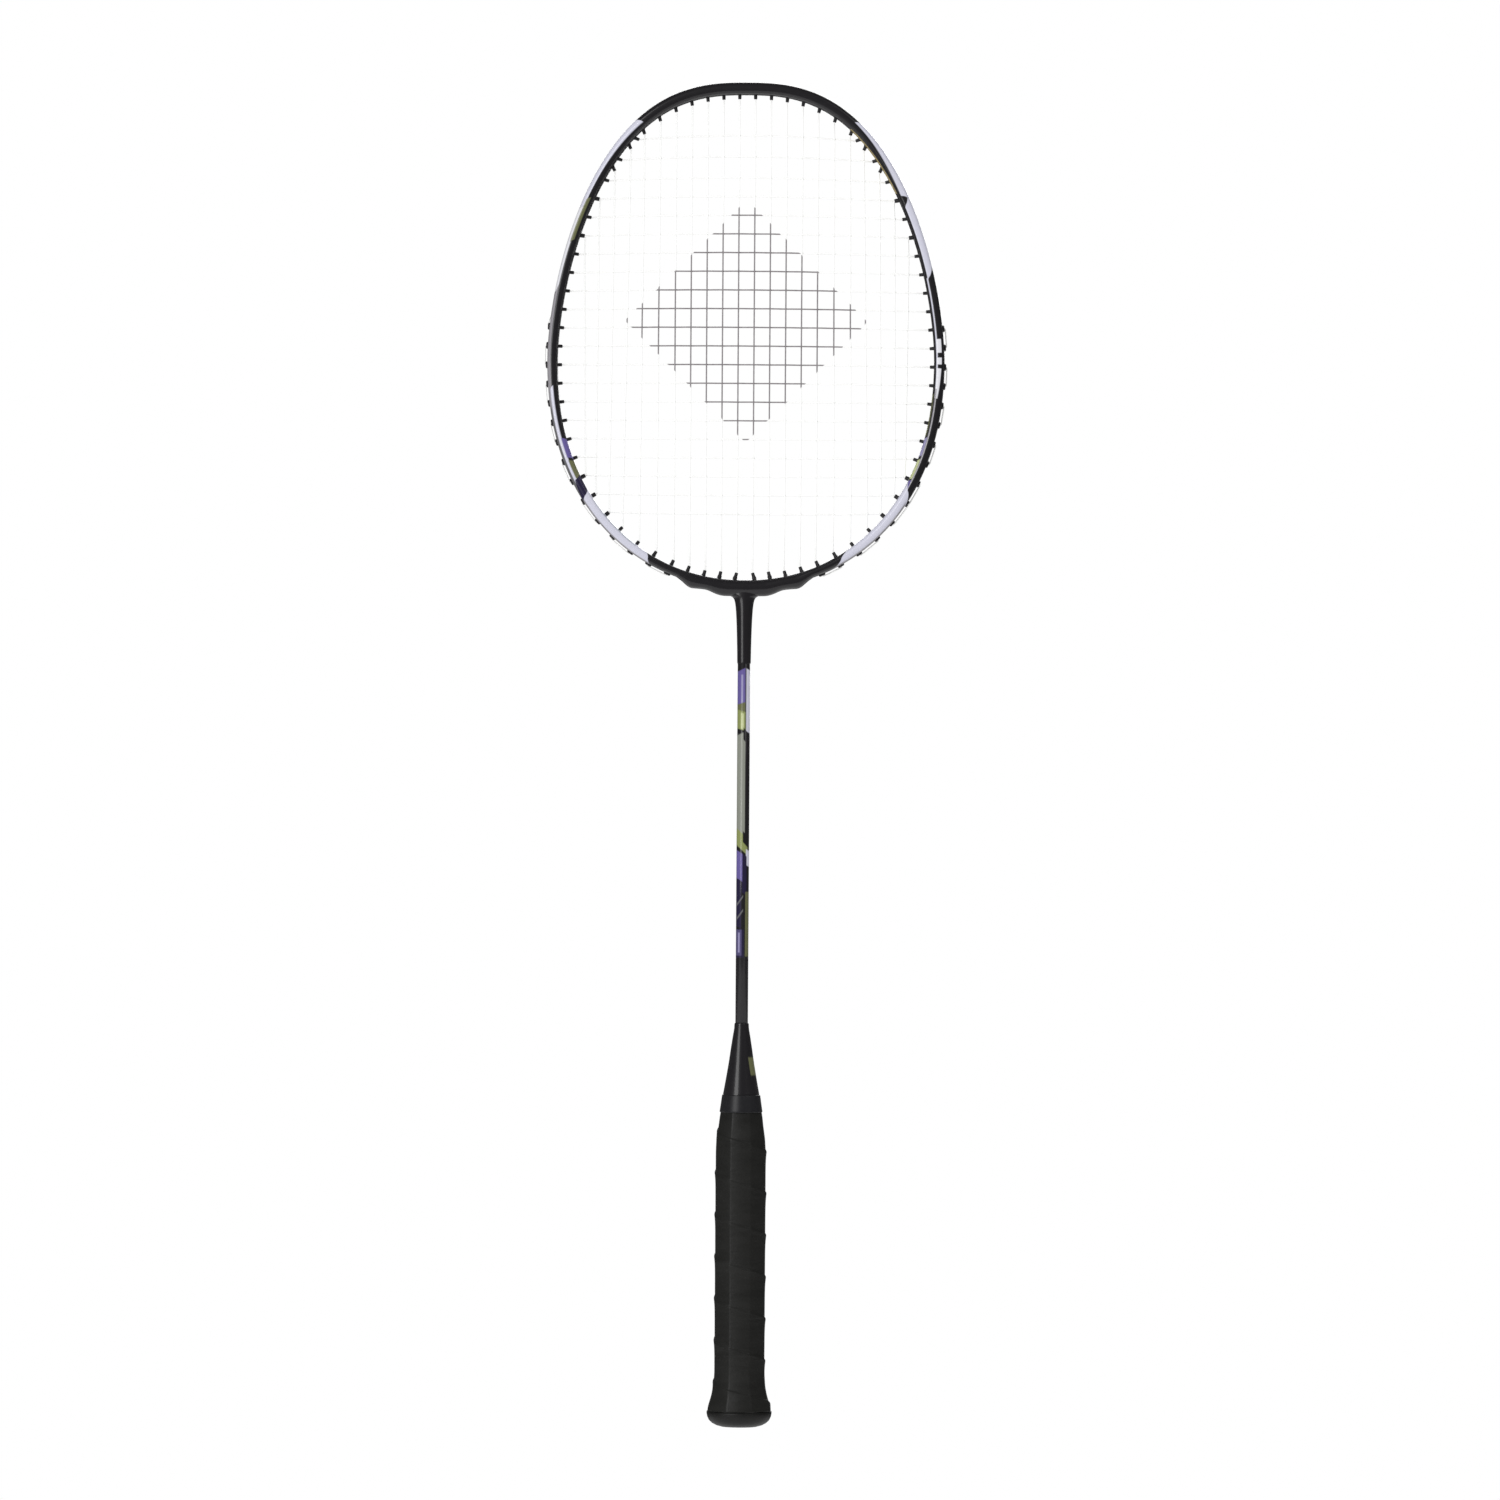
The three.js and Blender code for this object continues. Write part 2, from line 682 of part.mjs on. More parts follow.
// An eight-sided bar with the handle's swell: each entry is half the width across flats and a level.
function eightSided(profile) {
  const toCorner = 1 / Math.cos(Math.PI / 8);
  const geometry = lathe(profile.map(([flat, level]) => [flat * toCorner, level]), 8);
  geometry.rotateZ(Math.PI / 8);
  geometry.scale(1, GRIP_FLATTEN, 1);
  return solidFrom(geometry);
}

// The wooden handle's outside, grown by the same amount all round.
function handleBody(growth) {
  const straight = GRIP_RADIUS - GRIP_THICKNESS + growth;
  const neck = HANDLE_NECK + growth;
  const foot = BUTT_TOP + GAP - growth;
  return eightSided([
    [0, foot],
    [BUTT_SWELL + growth, foot],
    [12.4 + growth, 14],
    [straight, 22],
    [straight, HANDLE_SHOULDER + growth],
    [neck, HANDLE_SHOULDER + 2 + growth],
    [neck, HANDLE_TOP + growth],
    [0, HANDLE_TOP + growth],
  ]);
}

// The wood is drilled for the shaft's lower end.
function handleCore() {
  const bore = rod(SHAFT_RADIUS + BORE_CLEARANCE, SHAFT_FOOT - HANDLE_BORE_SPARE, HANDLE_TOP + OVERCUT);
  return geometryFrom(handleBody(0).subtract(bore));
}

// The grip's outside from the butt up: half the width across its flats, and a level.
const GRIP_PROFILE = [
  [0, GRIP_FOOT],
  [16.3, GRIP_FOOT],
  [15.4, 13],
  [13.4, 20],
  [GRIP_RADIUS, 27],
  [GRIP_RADIUS, HANDLE_SHOULDER],
  [10.9, GRIP_TOP - 1.9],
  [10.6, GRIP_TOP],
  [0, GRIP_TOP],
];

// The wound strip as one sleeve, with the wood and the cone's skirt cut out of it.
function gripWrap() {
  const rounded = GRIP_PROFILE.map(([flat, level]) => [flat * GRIP_CORNER_SHARE, level]);
  const round = solidFrom(lathe(rounded, ROUND_SIDES).scale(1, GRIP_FLATTEN, 1));
  const skirt = lathe(
    [
      [0, CONE_FOOT - GAP],
      [CONE_SKIRT + GAP, CONE_FOOT - GAP],
      [CONE_SKIRT, GRIP_TOP + OVERCUT],
      [0, GRIP_TOP + OVERCUT],
    ],
    ROUND_SIDES,
  );
  const sleeve = eightSided(GRIP_PROFILE).intersect(round);
  return geometryFrom(sleeve.subtract(handleBody(GAP)).subtract(solidFrom(skirt)));
}

function finishingTape() {
  const { top, bottom, topRadius, bottomRadius, thickness } = TAPE;
  const profile = [
    [topRadius, top],
    [bottomRadius, bottom],
    [bottomRadius + thickness, bottom],
    [topRadius + thickness, top],
    [topRadius, top],
  ];
  return lathe(profile, ROUND_SIDES);
}

// A shallow dish that closes the handle's foot: a domed end with a small flat and a low rim.
function buttCap() {
  const profile = [
    [0, 0],
    [9.2, 0],
    [13.2, 1.7],
    [15.3, 3.8],
    [16.4, 6.4],
    [16.4, BUTT_RIM],
    [15.2, BUTT_RIM],
    [15.2, BUTT_TOP],
    [0, BUTT_TOP],
  ];
  const geometry = lathe(profile, ROUND_SIDES);
  geometry.scale(1, GRIP_FLATTEN, 1);
  return geometry;
}

// ---------- materials ----------

const LOOKS = {
  carbon: { color: 0x1c1a1e, roughness: 0.22, metalness: 0.1 },
  shaft: { color: 0x2b2733, roughness: 0.25, metalness: 0.1 },
  metal: { color: 0x9a9ca0, roughness: 0.4, metalness: 0.9 },
  grommet: { color: 0x151416, roughness: 0.5, metalness: 0 },
  string: { color: 0xf1f0ee, roughness: 0.35, metalness: 0 },
  plastic: { color: 0x141416, roughness: 0.3, metalness: 0 },
  wood: { color: 0xb98a58, roughness: 0.7, metalness: 0 },
  grip: { color: 0x1b1b1d, roughness: 0.75, metalness: 0 },
};

const racket = new THREE.Group();

function addPiece(name, geometry, look) {
  const mesh = new THREE.Mesh(geometry, new THREE.MeshStandardMaterial(LOOKS[look]));
  mesh.name = name;
  racket.add(mesh);
}

// ---------- assembly ----------

addPiece('head_frame', headFrame(), 'carbon');
addPiece('t_joint', tJoint(), 'metal');
addPiece('shaft', shaft(), 'shaft');
addPiece('cone_cap', coneCap(), 'plastic');
addPiece('handle_core', handleCore(), 'wood');
addPiece('grip_wrap', gripWrap(), 'grip');
addPiece('grip_finishing_tape', finishingTape(), 'grip');
addPiece('butt_cap', buttCap(), 'plastic');
addPiece('main_string', mainString(), 'string');
addPiece('cross_string', crossString(), 'string');

const crownEnd = angleBetween(RIGHT.get(`T${CROWN_MAINS}`), RIGHT.get('C1'));
const crownHoles = [];
for (let main = 1; main <= CROWN_MAINS; main += 1) {
  crownHoles.push(RIGHT.get(`T${main}`), LEFT.get(`T${main}`));
}
const crownStart = crownEnd + STRIP_GAP_ANGLE;
addPiece('crown_grommet_strip', grommetStrip(crownHoles, crownStart, Math.PI - crownStart), 'grommet');

const sideNames = ['T8', 'T9'];
for (let cross = 1; cross <= LAST_STRIP_CROSS; cross += 1) sideNames.push(`C${cross}`);
const footLevel = GROOVE.end + 2;
const sideFoot = ovalAngle(HEAD_OVAL, new THREE.Vector2(ovalReach(HEAD_OVAL, footLevel), footLevel));
const sideTop = crownEnd - STRIP_GAP_ANGLE;
const rightSide = sideNames.map((name) => RIGHT.get(name));
const leftSide = sideNames.map((name) => LEFT.get(name));
addPiece('right_grommet_strip', grommetStrip(rightSide, sideFoot, sideTop), 'grommet');
addPiece('left_grommet_strip', grommetStrip(leftSide, Math.PI - sideTop, Math.PI - sideFoot), 'grommet');

for (const [sideName, holes] of [['left', LEFT], ['right', RIGHT]]) {
  for (let cross = LAST_STRIP_CROSS + 1; cross <= CROSS_COUNT; cross += 1) {
    addPiece(`cross_grommet_${sideName}_${cross}`, grommet(holes.get(`C${cross}`)), 'grommet');
  }
  for (let main = 1; main <= SINGLE_MAINS; main += 1) {
    addPiece(`main_grommet_${sideName}_${main}`, grommet(holes.get(`B${main}`)), 'grommet');
  }
}

export default racket;
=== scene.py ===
# The looks of a strung badminton racket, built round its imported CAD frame.
# Sizes are in millimetres, in the frame's own axes: Z up the racket, X across the face, front along -Y.
import math

import bmesh
import bpy
import numpy as np
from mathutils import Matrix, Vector


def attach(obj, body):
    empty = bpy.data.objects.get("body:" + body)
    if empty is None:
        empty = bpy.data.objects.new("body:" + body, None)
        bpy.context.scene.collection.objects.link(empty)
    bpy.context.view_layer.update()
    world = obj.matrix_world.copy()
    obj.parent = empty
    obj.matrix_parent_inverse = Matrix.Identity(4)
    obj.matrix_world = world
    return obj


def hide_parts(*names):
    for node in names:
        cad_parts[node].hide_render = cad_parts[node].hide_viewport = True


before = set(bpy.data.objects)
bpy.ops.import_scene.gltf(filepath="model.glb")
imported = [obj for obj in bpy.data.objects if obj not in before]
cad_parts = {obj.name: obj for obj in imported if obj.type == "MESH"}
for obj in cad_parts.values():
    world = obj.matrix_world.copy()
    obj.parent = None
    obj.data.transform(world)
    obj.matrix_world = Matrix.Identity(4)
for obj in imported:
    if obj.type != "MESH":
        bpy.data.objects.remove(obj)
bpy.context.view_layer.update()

MM = 0.001
BODY = "root"
TURN = 2 * math.pi

# ---------- driving dimensions, as in the CAD frame ----------

LENGTH = 675.0
WIDEST_LEVEL = 536.0
HEAD_BOTTOM = 420.6
HEAD_SIDE = 99.8
UPPER_POWERS = (2.6, 1.68)
LOWER_POWERS = (2.08, 2.24)
OUTER_OVAL = (HEAD_SIDE, LENGTH - WIDEST_LEVEL, WIDEST_LEVEL - HEAD_BOTTOM)
HOOP_WIDTH = (5.4, 6.5, 4.6)
HOOP_DEPTH = 10.4
BARREL_REACH = 2.0
SHOULDER_BARREL_REACH = 2.6
THROAT_BARREL_REACH = 3.4
GROOVE_DEPTH = 1.6
GROOVE_HALF_WIDTH = 1.6
GROOVE_END = WIDEST_LEVEL + 18

MAIN_COUNT = 11
MAIN_PITCH = 7.93
CROSS_COUNT = 21
CROSS_PITCH = 9.244
TOP_CROSS_LEVEL = 643.5
SHARED_TOP = {10: 4, 11: 6}
SHARED_BOTTOM = {11: 19, 10: 20, 9: 21}
SPREAD = {"T8": -1.0, "T9": -1.0, "C1": 2.3, "C2": 1.2, "B6": 0.8, "B7": 1.6, "B8": 2.0}
THROAT_SPLAY = 0.28
LAST_STRIP_CROSS = 10
CROWN_MAINS = 7
STRING_RADIUS = 0.36

STEM_END = 383.4
SHAFT_RADIUS = 3.15
SHAFT_FOOT = 92.0
GRIP_FLATTEN = 0.94

# ---------- meshes ----------


def face_outwards(mesh):
    """Turns each closed shell of the mesh so that its faces look outwards."""
    shells = bmesh.new()
    shells.from_mesh(mesh)
    bmesh.ops.recalc_face_normals(shells, faces=shells.faces)
    shells.to_mesh(mesh)
    shells.free()


def new_piece(name, points, faces, node_names, material):
    """Makes one mesh piece from points in millimetres, shaded smooth, riding on the racket."""
    mesh = bpy.data.meshes.new(name)
    mesh.from_pydata([tuple(c * MM for c in p) for p in points], [], faces)
    mesh.validate()
    face_outwards(mesh)
    mesh.update()
    piece = bpy.data.objects.new(name, mesh)
    bpy.context.scene.collection.objects.link(piece)
    for polygon in mesh.polygons:
        polygon.use_smooth = True
    mesh.materials.append(material)
    if node_names:
        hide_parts(*node_names)
    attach(piece, BODY)
    return piece


def skin(rings, closed=False):
    """Joins a row of equal rings of points into one closed skin: a loop, or a bar with capped ends."""
    count = len(rings[0])
    points = [tuple(p) for ring in rings for p in ring]
    faces = []
    last = len(rings) if closed else len(rings) - 1
    for i in range(last):
        a = i * count
        b = ((i + 1) % len(rings)) * count
        for j in range(count):
            k = (j + 1) % count
            faces.append((a + j, a + k, b + k, b + j))
    if not closed:
        faces.append(tuple(range(count - 1, -1, -1)))
        top = (len(rings) - 1) * count
        faces.append(tuple(range(top, top + count)))
    return points, faces


def merge(parts):
    """Several skins as one list of points and faces."""
    points = []
    faces = []
    for more_points, more_faces in parts:
        start = len(points)
        points.extend(more_points)
        faces.extend(tuple(i + start for i in face) for face in more_faces)
    return points, faces


def turned(profile, sides, squeeze=1.0):
    """A round skin about Z from (radius, level) pairs, squeezed in Y."""
    rings = []
    for radius, level in profile:
        angles = [TURN * i / sides for i in range(sides)]
        rings.append([(radius * math.cos(a), radius * math.sin(a) * squeeze, level) for a in angles])
    return skin(rings)


def smooth_profile(pairs, steps):
    """A finer row of pairs on a Catmull-Rom curve through the given ones."""
    pairs = [np.array(p, float) for p in pairs]
    rows = []
    for i in range(len(pairs) - 1):
        before = pairs[max(i - 1, 0)]
        after = pairs[min(i + 2, len(pairs) - 1)]
        for step in range(steps):
            t = step / steps
            rows.append(catmull(before, pairs[i], pairs[i + 1], after, t))
    rows.append(pairs[-1])
    return rows


def catmull(before, start, end, after, t):
    square = t * t
    cube = square * t
    return 0.5 * (
        2 * start
        + (end - before) * t
        + (2 * before - 5 * start + 4 * end - after) * square
        + (3 * start - before - 3 * end + after) * cube
    )


# ---------- the head's oval ----------


def inset(oval, side, top=None, bottom=None):
    top = side if top is None else top
    bottom = side if bottom is None else bottom
    return (oval[0] - side, oval[1] - top, oval[2] - bottom)


def half_of(oval, upper):
    across_power, up_power = UPPER_POWERS if upper else LOWER_POWERS
    return (oval[1] if upper else oval[2]), across_power, up_power


def oval_point(oval, angle):
    height, across_power, up_power = half_of(oval, math.sin(angle) >= 0)
    c, s = math.cos(angle), math.sin(angle)
    x = math.copysign(oval[0] * abs(c) ** (2 / across_power), c)
    z = WIDEST_LEVEL + math.copysign(height * abs(s) ** (2 / up_power), s)
    return np.array((x, z))


def oval_level(oval, x, upper):
    height, across_power, up_power = half_of(oval, upper)
    rise = height * (1 - abs(x / oval[0]) ** across_power) ** (1 / up_power)
    return WIDEST_LEVEL + rise if upper else WIDEST_LEVEL - rise


def oval_reach(oval, z):
    height, across_power, up_power = half_of(oval, z >= WIDEST_LEVEL)
    return oval[0] * (1 - abs((z - WIDEST_LEVEL) / height) ** up_power) ** (1 / across_power)


def inside(oval, point):
    height, across_power, up_power = half_of(oval, point[1] >= WIDEST_LEVEL)
    return abs(point[0] / oval[0]) ** across_power + abs((point[1] - WIDEST_LEVEL) / height) ** up_power < 1


def oval_normal(oval, point):
    height, across_power, up_power = half_of(oval, point[1] >= WIDEST_LEVEL)
    x = point[0] / oval[0]
    z = (point[1] - WIDEST_LEVEL) / height
    across = math.copysign(across_power / oval[0] * abs(x) ** (across_power - 1), x)
    up = math.copysign(up_power / height * abs(z) ** (up_power - 1), z)
    normal = np.array((across, up))
    return normal / np.linalg.norm(normal)


def oval_angle(oval, point):
    height, across_power, up_power = half_of(oval, point[1] >= WIDEST_LEVEL)
    across = abs(point[0] / oval[0]) ** (across_power / 2)
    up = abs((point[1] - WIDEST_LEVEL) / height) ** (up_power / 2)
    return math.atan2(math.copysign(up, point[1] - WIDEST_LEVEL), math.copysign(across, point[0]))


def distance_out(oval, origin, direction):
    """How far along a direction a ray from inside the oval leaves it."""
    near, far = 0.0, 60.0
    for _ in range(40):
        middle = (near + far) / 2
        if inside(oval, origin + direction * middle):
            near = middle
        else:
            far = middle
    return near


INNER_OVAL = inset(OUTER_OVAL, *HOOP_WIDTH)
TIP_OVAL = inset(INNER_OVAL, BARREL_REACH)


def oval_stations(count):
    """Points evenly spaced round the outer oval from the crown, clockwise, with their distance along it."""
    fine = 7200
    angles = [math.pi / 2 - TURN * i / fine for i in range(fine + 1)]
    points = np.array([oval_point(OUTER_OVAL, a) for a in angles])
    steps = np.linalg.norm(np.diff(points, axis=0), axis=1)
    run = np.concatenate(([0.0], np.cumsum(steps)))
    wanted = run[-1] * np.arange(count) / count
    x = np.interp(wanted, run, points[:, 0])
    z = np.interp(wanted, run, points[:, 1])
    return np.stack((x, z), axis=1), wanted, run[-1]


# ---------- string holes ----------


SHARED_NAMES = {f"C{cross}" for cross in (*SHARED_TOP.values(), *SHARED_BOTTOM.values())}


class Hole:
    """One string hole: its barrel's inner tip, and the direction out through the hoop."""

    def __init__(self, name, tip, direction, side=1):
        self.name = name
        self.side = side
        self.tip = np.array(tip, float)
        self.axis = np.array(direction, float) / np.linalg.norm(direction)
        self.grooved = self.tip[1] > GROOVE_END
        self.surface = distance_out(OUTER_OVAL, self.tip, self.axis)
        self.shared = name in SHARED_NAMES

    def at(self, distance):
        point = self.tip + self.axis * distance
        return np.array((point[0] * self.side, point[1]))

    def direction(self):
        return np.array((self.axis[0] * self.side, self.axis[1]))


def main_x(name, number):
    return (number - 0.5) * MAIN_PITCH + SPREAD.get(name, 0)


def top_main_hole(number):
    name = f"T{number}"
    x = main_x(name, number)
    tip = (x, oval_level(TIP_OVAL, x, True))
    return name, tip, oval_normal(TIP_OVAL, tip) + np.array((0, 1))


def bottom_reach(number):
    """The barrels at the throat stand out further, the two nearest the middle most."""
    if number <= 2:
        return THROAT_BARREL_REACH
    return SHOULDER_BARREL_REACH if number <= 6 else BARREL_REACH


def bottom_main_hole(number):
    name = f"B{number}"
    x = main_x(name, number)
    tip = (x, oval_level(inset(INNER_OVAL, bottom_reach(number)), x, False))
    return name, tip, oval_normal(OUTER_OVAL, tip) + np.array((THROAT_SPLAY / number, 0))


def cross_hole(number):
    name = f"C{number}"
    z = TOP_CROSS_LEVEL - (number - 1) * CROSS_PITCH + SPREAD.get(name, 0)
    tip = (oval_reach(TIP_OVAL, z), z)
    lean = np.array((1.0 if z > GROOVE_END else 0.0, 0.0))
    return name, tip, oval_normal(TIP_OVAL, tip) + lean


def side_holes(side):
    """All holes of one half by name: T for top mains, C for crosses, B for bottom mains."""
    rows = []
    for main in range(1, MAIN_COUNT + 1):
        if main not in SHARED_TOP:
            rows.append(top_main_hole(main))
        if main not in SHARED_BOTTOM:
            rows.append(bottom_main_hole(main))
    rows.extend(cross_hole(cross) for cross in range(1, CROSS_COUNT + 1))
    return {name: Hole(name, tip, direction, side) for name, tip, direction in rows}


HOLES = {1: side_holes(1), -1: side_holes(-1)}


def top_hole(side, main):
    return HOLES[side][f"C{SHARED_TOP[main]}" if main in SHARED_TOP else f"T{main}"]


def bottom_hole(side, main):
    return HOLES[side][f"C{SHARED_BOTTOM[main]}" if main in SHARED_BOTTOM else f"B{main}"]


# ---------- materials ----------


class Nodes:
    """A short way to build one material's node tree."""

    def __init__(self, name):
        self.material = bpy.data.materials.new(name)
        self.material.use_nodes = True
        self.tree = self.material.node_tree
        self.shader = self.tree.nodes["Principled BSDF"]

    def add(self, kind, **settings):
        node = self.tree.nodes.new(kind)
        for key, value in settings.items():
            setattr(node, key, value)
        return node

    def put(self, target, value):
        """Links a socket, or sets a plain value, on an input."""
        if isinstance(value, bpy.types.NodeSocket):
            self.tree.links.new(value, target)
        else:
            target.default_value = value

    def math(self, operation, first, second=0.0, third=0.0, clamp=False):
        node = self.add("ShaderNodeMath", operation=operation, use_clamp=clamp)
        for target, value in zip(node.inputs, (first, second, third)):
            self.put(target, value)
        return node.outputs[0]

    def mix(self, factor, first, second):
        node = self.add("ShaderNodeMix", data_type="RGBA")
        self.put(node.inputs["Factor"], factor)
        self.put(node.inputs[6], (*first, 1.0) if isinstance(first, tuple) else first)
        self.put(node.inputs[7], (*second, 1.0) if isinstance(second, tuple) else second)
        return node.outputs[2]

    def step(self, value, edge, softness):
        """0 below the edge and 1 above it, with a soft run between."""
        node = self.add("ShaderNodeMapRange", interpolation_type="SMOOTHSTEP")
        self.put(node.inputs["Value"], value)
        node.inputs["From Min"].default_value = edge - softness / 2
        node.inputs["From Max"].default_value = edge + softness / 2
        return node.outputs[0]

    def band(self, value, low, high, softness):
        """1 between two edges and 0 outside them."""
        above = self.step(value, low, softness)
        below = self.step(value, high, softness)
        return self.math("SUBTRACT", above, below, clamp=True)

    def both(self, *masks):
        result = masks[0]
        for mask in masks[1:]:
            result = self.math("MULTIPLY", result, mask)
        return result

    def place(self):
        """The object's X, Y and Z, in millimetres."""
        texture = self.add("ShaderNodeTexCoord")
        scale = self.add("ShaderNodeVectorMath", operation="SCALE")
        self.put(scale.inputs[0], texture.outputs["Object"])
        scale.inputs["Scale"].default_value = 1 / MM
        parts = self.add("ShaderNodeSeparateXYZ")
        self.put(parts.inputs[0], scale.outputs[0])
        return scale.outputs[0], parts.outputs[0], parts.outputs[1], parts.outputs[2]

    def attribute(self, name):
        node = self.add("ShaderNodeAttribute", attribute_name=name)
        return node.outputs["Fac"]

    def noise(self, vector, scale, detail=3.0, roughness=0.5):
        node = self.add("ShaderNodeTexNoise")
        self.put(node.inputs["Vector"], vector)
        node.inputs["Scale"].default_value = scale
        node.inputs["Detail"].default_value = detail
        node.inputs["Roughness"].default_value = roughness
        return node.outputs["Fac"]

    def bump(self, height, strength, distance):
        node = self.add("ShaderNodeBump")
        self.put(node.inputs["Height"], height)
        node.inputs["Strength"].default_value = strength
        node.inputs["Distance"].default_value = distance * MM
        self.put(self.shader.inputs["Normal"], node.outputs[0])

    def span(self, value, low, high):
        """Spreads a 0 to 1 value over another range."""
        node = self.add("ShaderNodeMapRange")
        self.put(node.inputs["Value"], value)
        node.inputs["To Min"].default_value = low
        node.inputs["To Max"].default_value = high
        return node.outputs[0]

    def colour(self, value):
        self.put(self.shader.inputs["Base Color"], (*value, 1.0) if isinstance(value, tuple) else value)

    def rough(self, value):
        self.put(self.shader.inputs["Roughness"], value)


BLACK = (0.010, 0.009, 0.011)
SILVER = (0.55, 0.55, 0.64)
# Silver darkened as painted shade.
SILVER_IN_SHADE = (0.27, 0.26, 0.28)
# Silver darkened as painted shade on the hoop's inner edge.
SILVER_INNER_SHADE = (0.38, 0.41, 0.46)
WHITE = (0.66, 0.66, 0.70)
STEEL = (0.12, 0.12, 0.125)
VIOLET = (0.115, 0.09, 0.28)
INDIGO = (0.014, 0.010, 0.040)
# Violet with painted light on it: a painted highlight on the shaft, the lighter right-hand accent on the
# hoop.
LIT_VIOLET = (0.27, 0.25, 0.42)
LIME = (0.22, 0.25, 0.085)
# Lime with painted light on it: a painted highlight on the shaft, the lighter right-hand accent on the
# hoop.
LIT_LIME = (0.46, 0.50, 0.26)
OLIVE = (0.12, 0.125, 0.055)
GOLD = (0.34, 0.27, 0.12)
GREY = (0.22, 0.23, 0.195)
DUSK = (0.070, 0.060, 0.15)

# The hoop's paint, with painted shade on parts of the silver and painted light on the right side's accents.
# Each patch is a four-sided area on the hoop's unrolled surface:
# side (-1 left, 1 right), start and end as distances in mm from the crown, then the inner and outer edge
# at the start and the same at the end (0 is the hoop's inner side, 1 its outer side), lean (how many mm
# the two ends slant from the inner side to the outer side), colour.
HOOP_PATCHES = [
    (-1, 59, 112, (0.52, 1.5), (0.60, 1.5), 5, SILVER),
    (-1, 112, 156, (0.60, 1.5), (0.66, 1.5), 5, WHITE),
    # Painted shade: the left outer strip carries on as silver darkened where it lies in shade.
    (-1, 150, 232, (0.66, 1.5), (0.60, 1.5), 24, SILVER_IN_SHADE),
    (-1, 205, 262, (0.54, 0.70), (0.52, 0.68), 10, SILVER),
    (-1, 214, 266, (0.72, 1.5), (0.70, 1.5), 10, STEEL),
    (-1, 107, 130, (0.48, 0.62), (0.50, 0.66), 12, OLIVE),
    (-1, 233, 243.5, (-0.5, 0.54), (-0.5, 0.54), -4, VIOLET),
    (-1, 245, 255, (-0.5, 0.54), (-0.5, 0.54), -4, OLIVE),
    (-1, 255, 266, (-0.5, 0.62), (-0.5, 0.90), 4, INDIGO),
    (-1, 264.5, 310.5, (-0.5, 1.5), (-0.5, 1.5), 6, SILVER),
    # Painted shade: darker bands along the inner and outer edges of the left lower silver zone, where the
    # hoop turns away.
    (-1, 270, 303, (-0.5, 0.28), (-0.5, 0.36), 6, SILVER_INNER_SHADE),
    (-1, 264.5, 310.5, (0.76, 1.5), (0.78, 1.5), 6, SILVER_IN_SHADE),
    (1, 59, 105, (0.62, 1.5), (0.46, 1.5), 8, SILVER),
    (1, 62, 104, (-0.5, 0.22), (-0.5, 0.26), 4, GOLD),
    (1, 110, 149, (0.42, 0.88), (0.44, 0.88), -14, SILVER),
    (1, 149, 206, (0.36, 0.45), (0.36, 0.45), 0, SILVER),
    (1, 180.5, 187.5, (0.40, 0.64), (0.40, 0.64), 0, WHITE),
    (1, 190, 193.5, (0.40, 0.64), (0.40, 0.64), 0, WHITE),
    (1, 195.5, 211, (0.38, 0.62), (0.36, 0.52), 1, WHITE),
    # Painted shade: the right silver line carries on lower down as silver darkened in shade.
    (1, 206, 262, (0.38, 0.47), (0.38, 0.47), 0, SILVER_IN_SHADE),
    (1, 208, 230, (-0.5, 0.26), (-0.5, 0.26), -3, OLIVE),
    # The right side's three accents are the same violet, lime and indigo bands as the left side's, painted
    # lighter there as painted light: lilac, pale lime and violet.
    (1, 231, 241, (-0.5, 0.38), (-0.5, 0.38), -4, LIT_VIOLET),
    (1, 243, 254, (-0.5, 0.38), (-0.5, 0.38), -4, LIT_LIME),
    (1, 255, 264, (-0.5, 0.38), (-0.5, 0.5), -4, VIOLET),
    (1, 261, 310.5, (-0.5, 1.5), (-0.5, 1.5), 14, SILVER),
    # Painted shade: a darker band along the outer edge of the right lower silver zone, where the hoop turns
    # away.
    (1, 263, 310.5, (0.76, 1.5), (0.76, 1.5), 14, SILVER_IN_SHADE),
]


def lacquer(look, colour):
    """Gloss lacquer over a coloured coat: a fine sparkle, slight orange peel and a clear top coat."""
    vector = look.place()[0]
    flake = look.noise(vector, 6.0, 1.0)
    tone = look.span(flake, 0.90, 1.10)
    shaded = look.add("ShaderNodeVectorMath", operation="SCALE")
    look.put(shaded.inputs[0], colour)
    look.put(shaded.inputs["Scale"], tone)
    look.colour(shaded.outputs[0])
    look.rough(look.span(look.noise(vector, 0.35), 0.30, 0.42))
    look.shader.inputs["Specular IOR Level"].default_value = 0.25
    look.shader.inputs["Coat Weight"].default_value = 0.45
    look.shader.inputs["Coat Roughness"].default_value = 0.12
    look.bump(look.noise(vector, 0.8, 2.0), 0.10, 0.02)
    return look.material


def frame_paint():
    look = Nodes("frame_paint_look")
    along = look.attribute("along")
    across = look.attribute("across")
    lean_share = look.math("SUBTRACT", across, 0.5)
    x = look.place()[1]
    sides = {1: look.math("GREATER_THAN", x, 0.0), -1: look.math("LESS_THAN", x, 0.0)}
    colour = look.mix(0.0, BLACK, BLACK)
    for side, start, end, start_edges, end_edges, lean, tint in HOOP_PATCHES:
        leaned = look.math("MULTIPLY_ADD", lean_share, -float(lean), along)
        ends = look.band(leaned, start, end, 0.5)
        share = look.add("ShaderNodeMapRange")
        look.put(share.inputs["Value"], along)
        share.inputs["From Min"].default_value = start
        share.inputs["From Max"].default_value = end
        edges = []
        for first, last in zip(start_edges, end_edges):
            edge = look.math("MULTIPLY_ADD", share.outputs[0], last - first, first)
            edges.append(look.step(look.math("SUBTRACT", across, edge), 0.0, 0.05))
        mask = look.both(ends, sides[side], look.math("SUBTRACT", edges[0], edges[1], clamp=True))
        colour = look.mix(mask, colour, tint)
    return lacquer(look, colour)
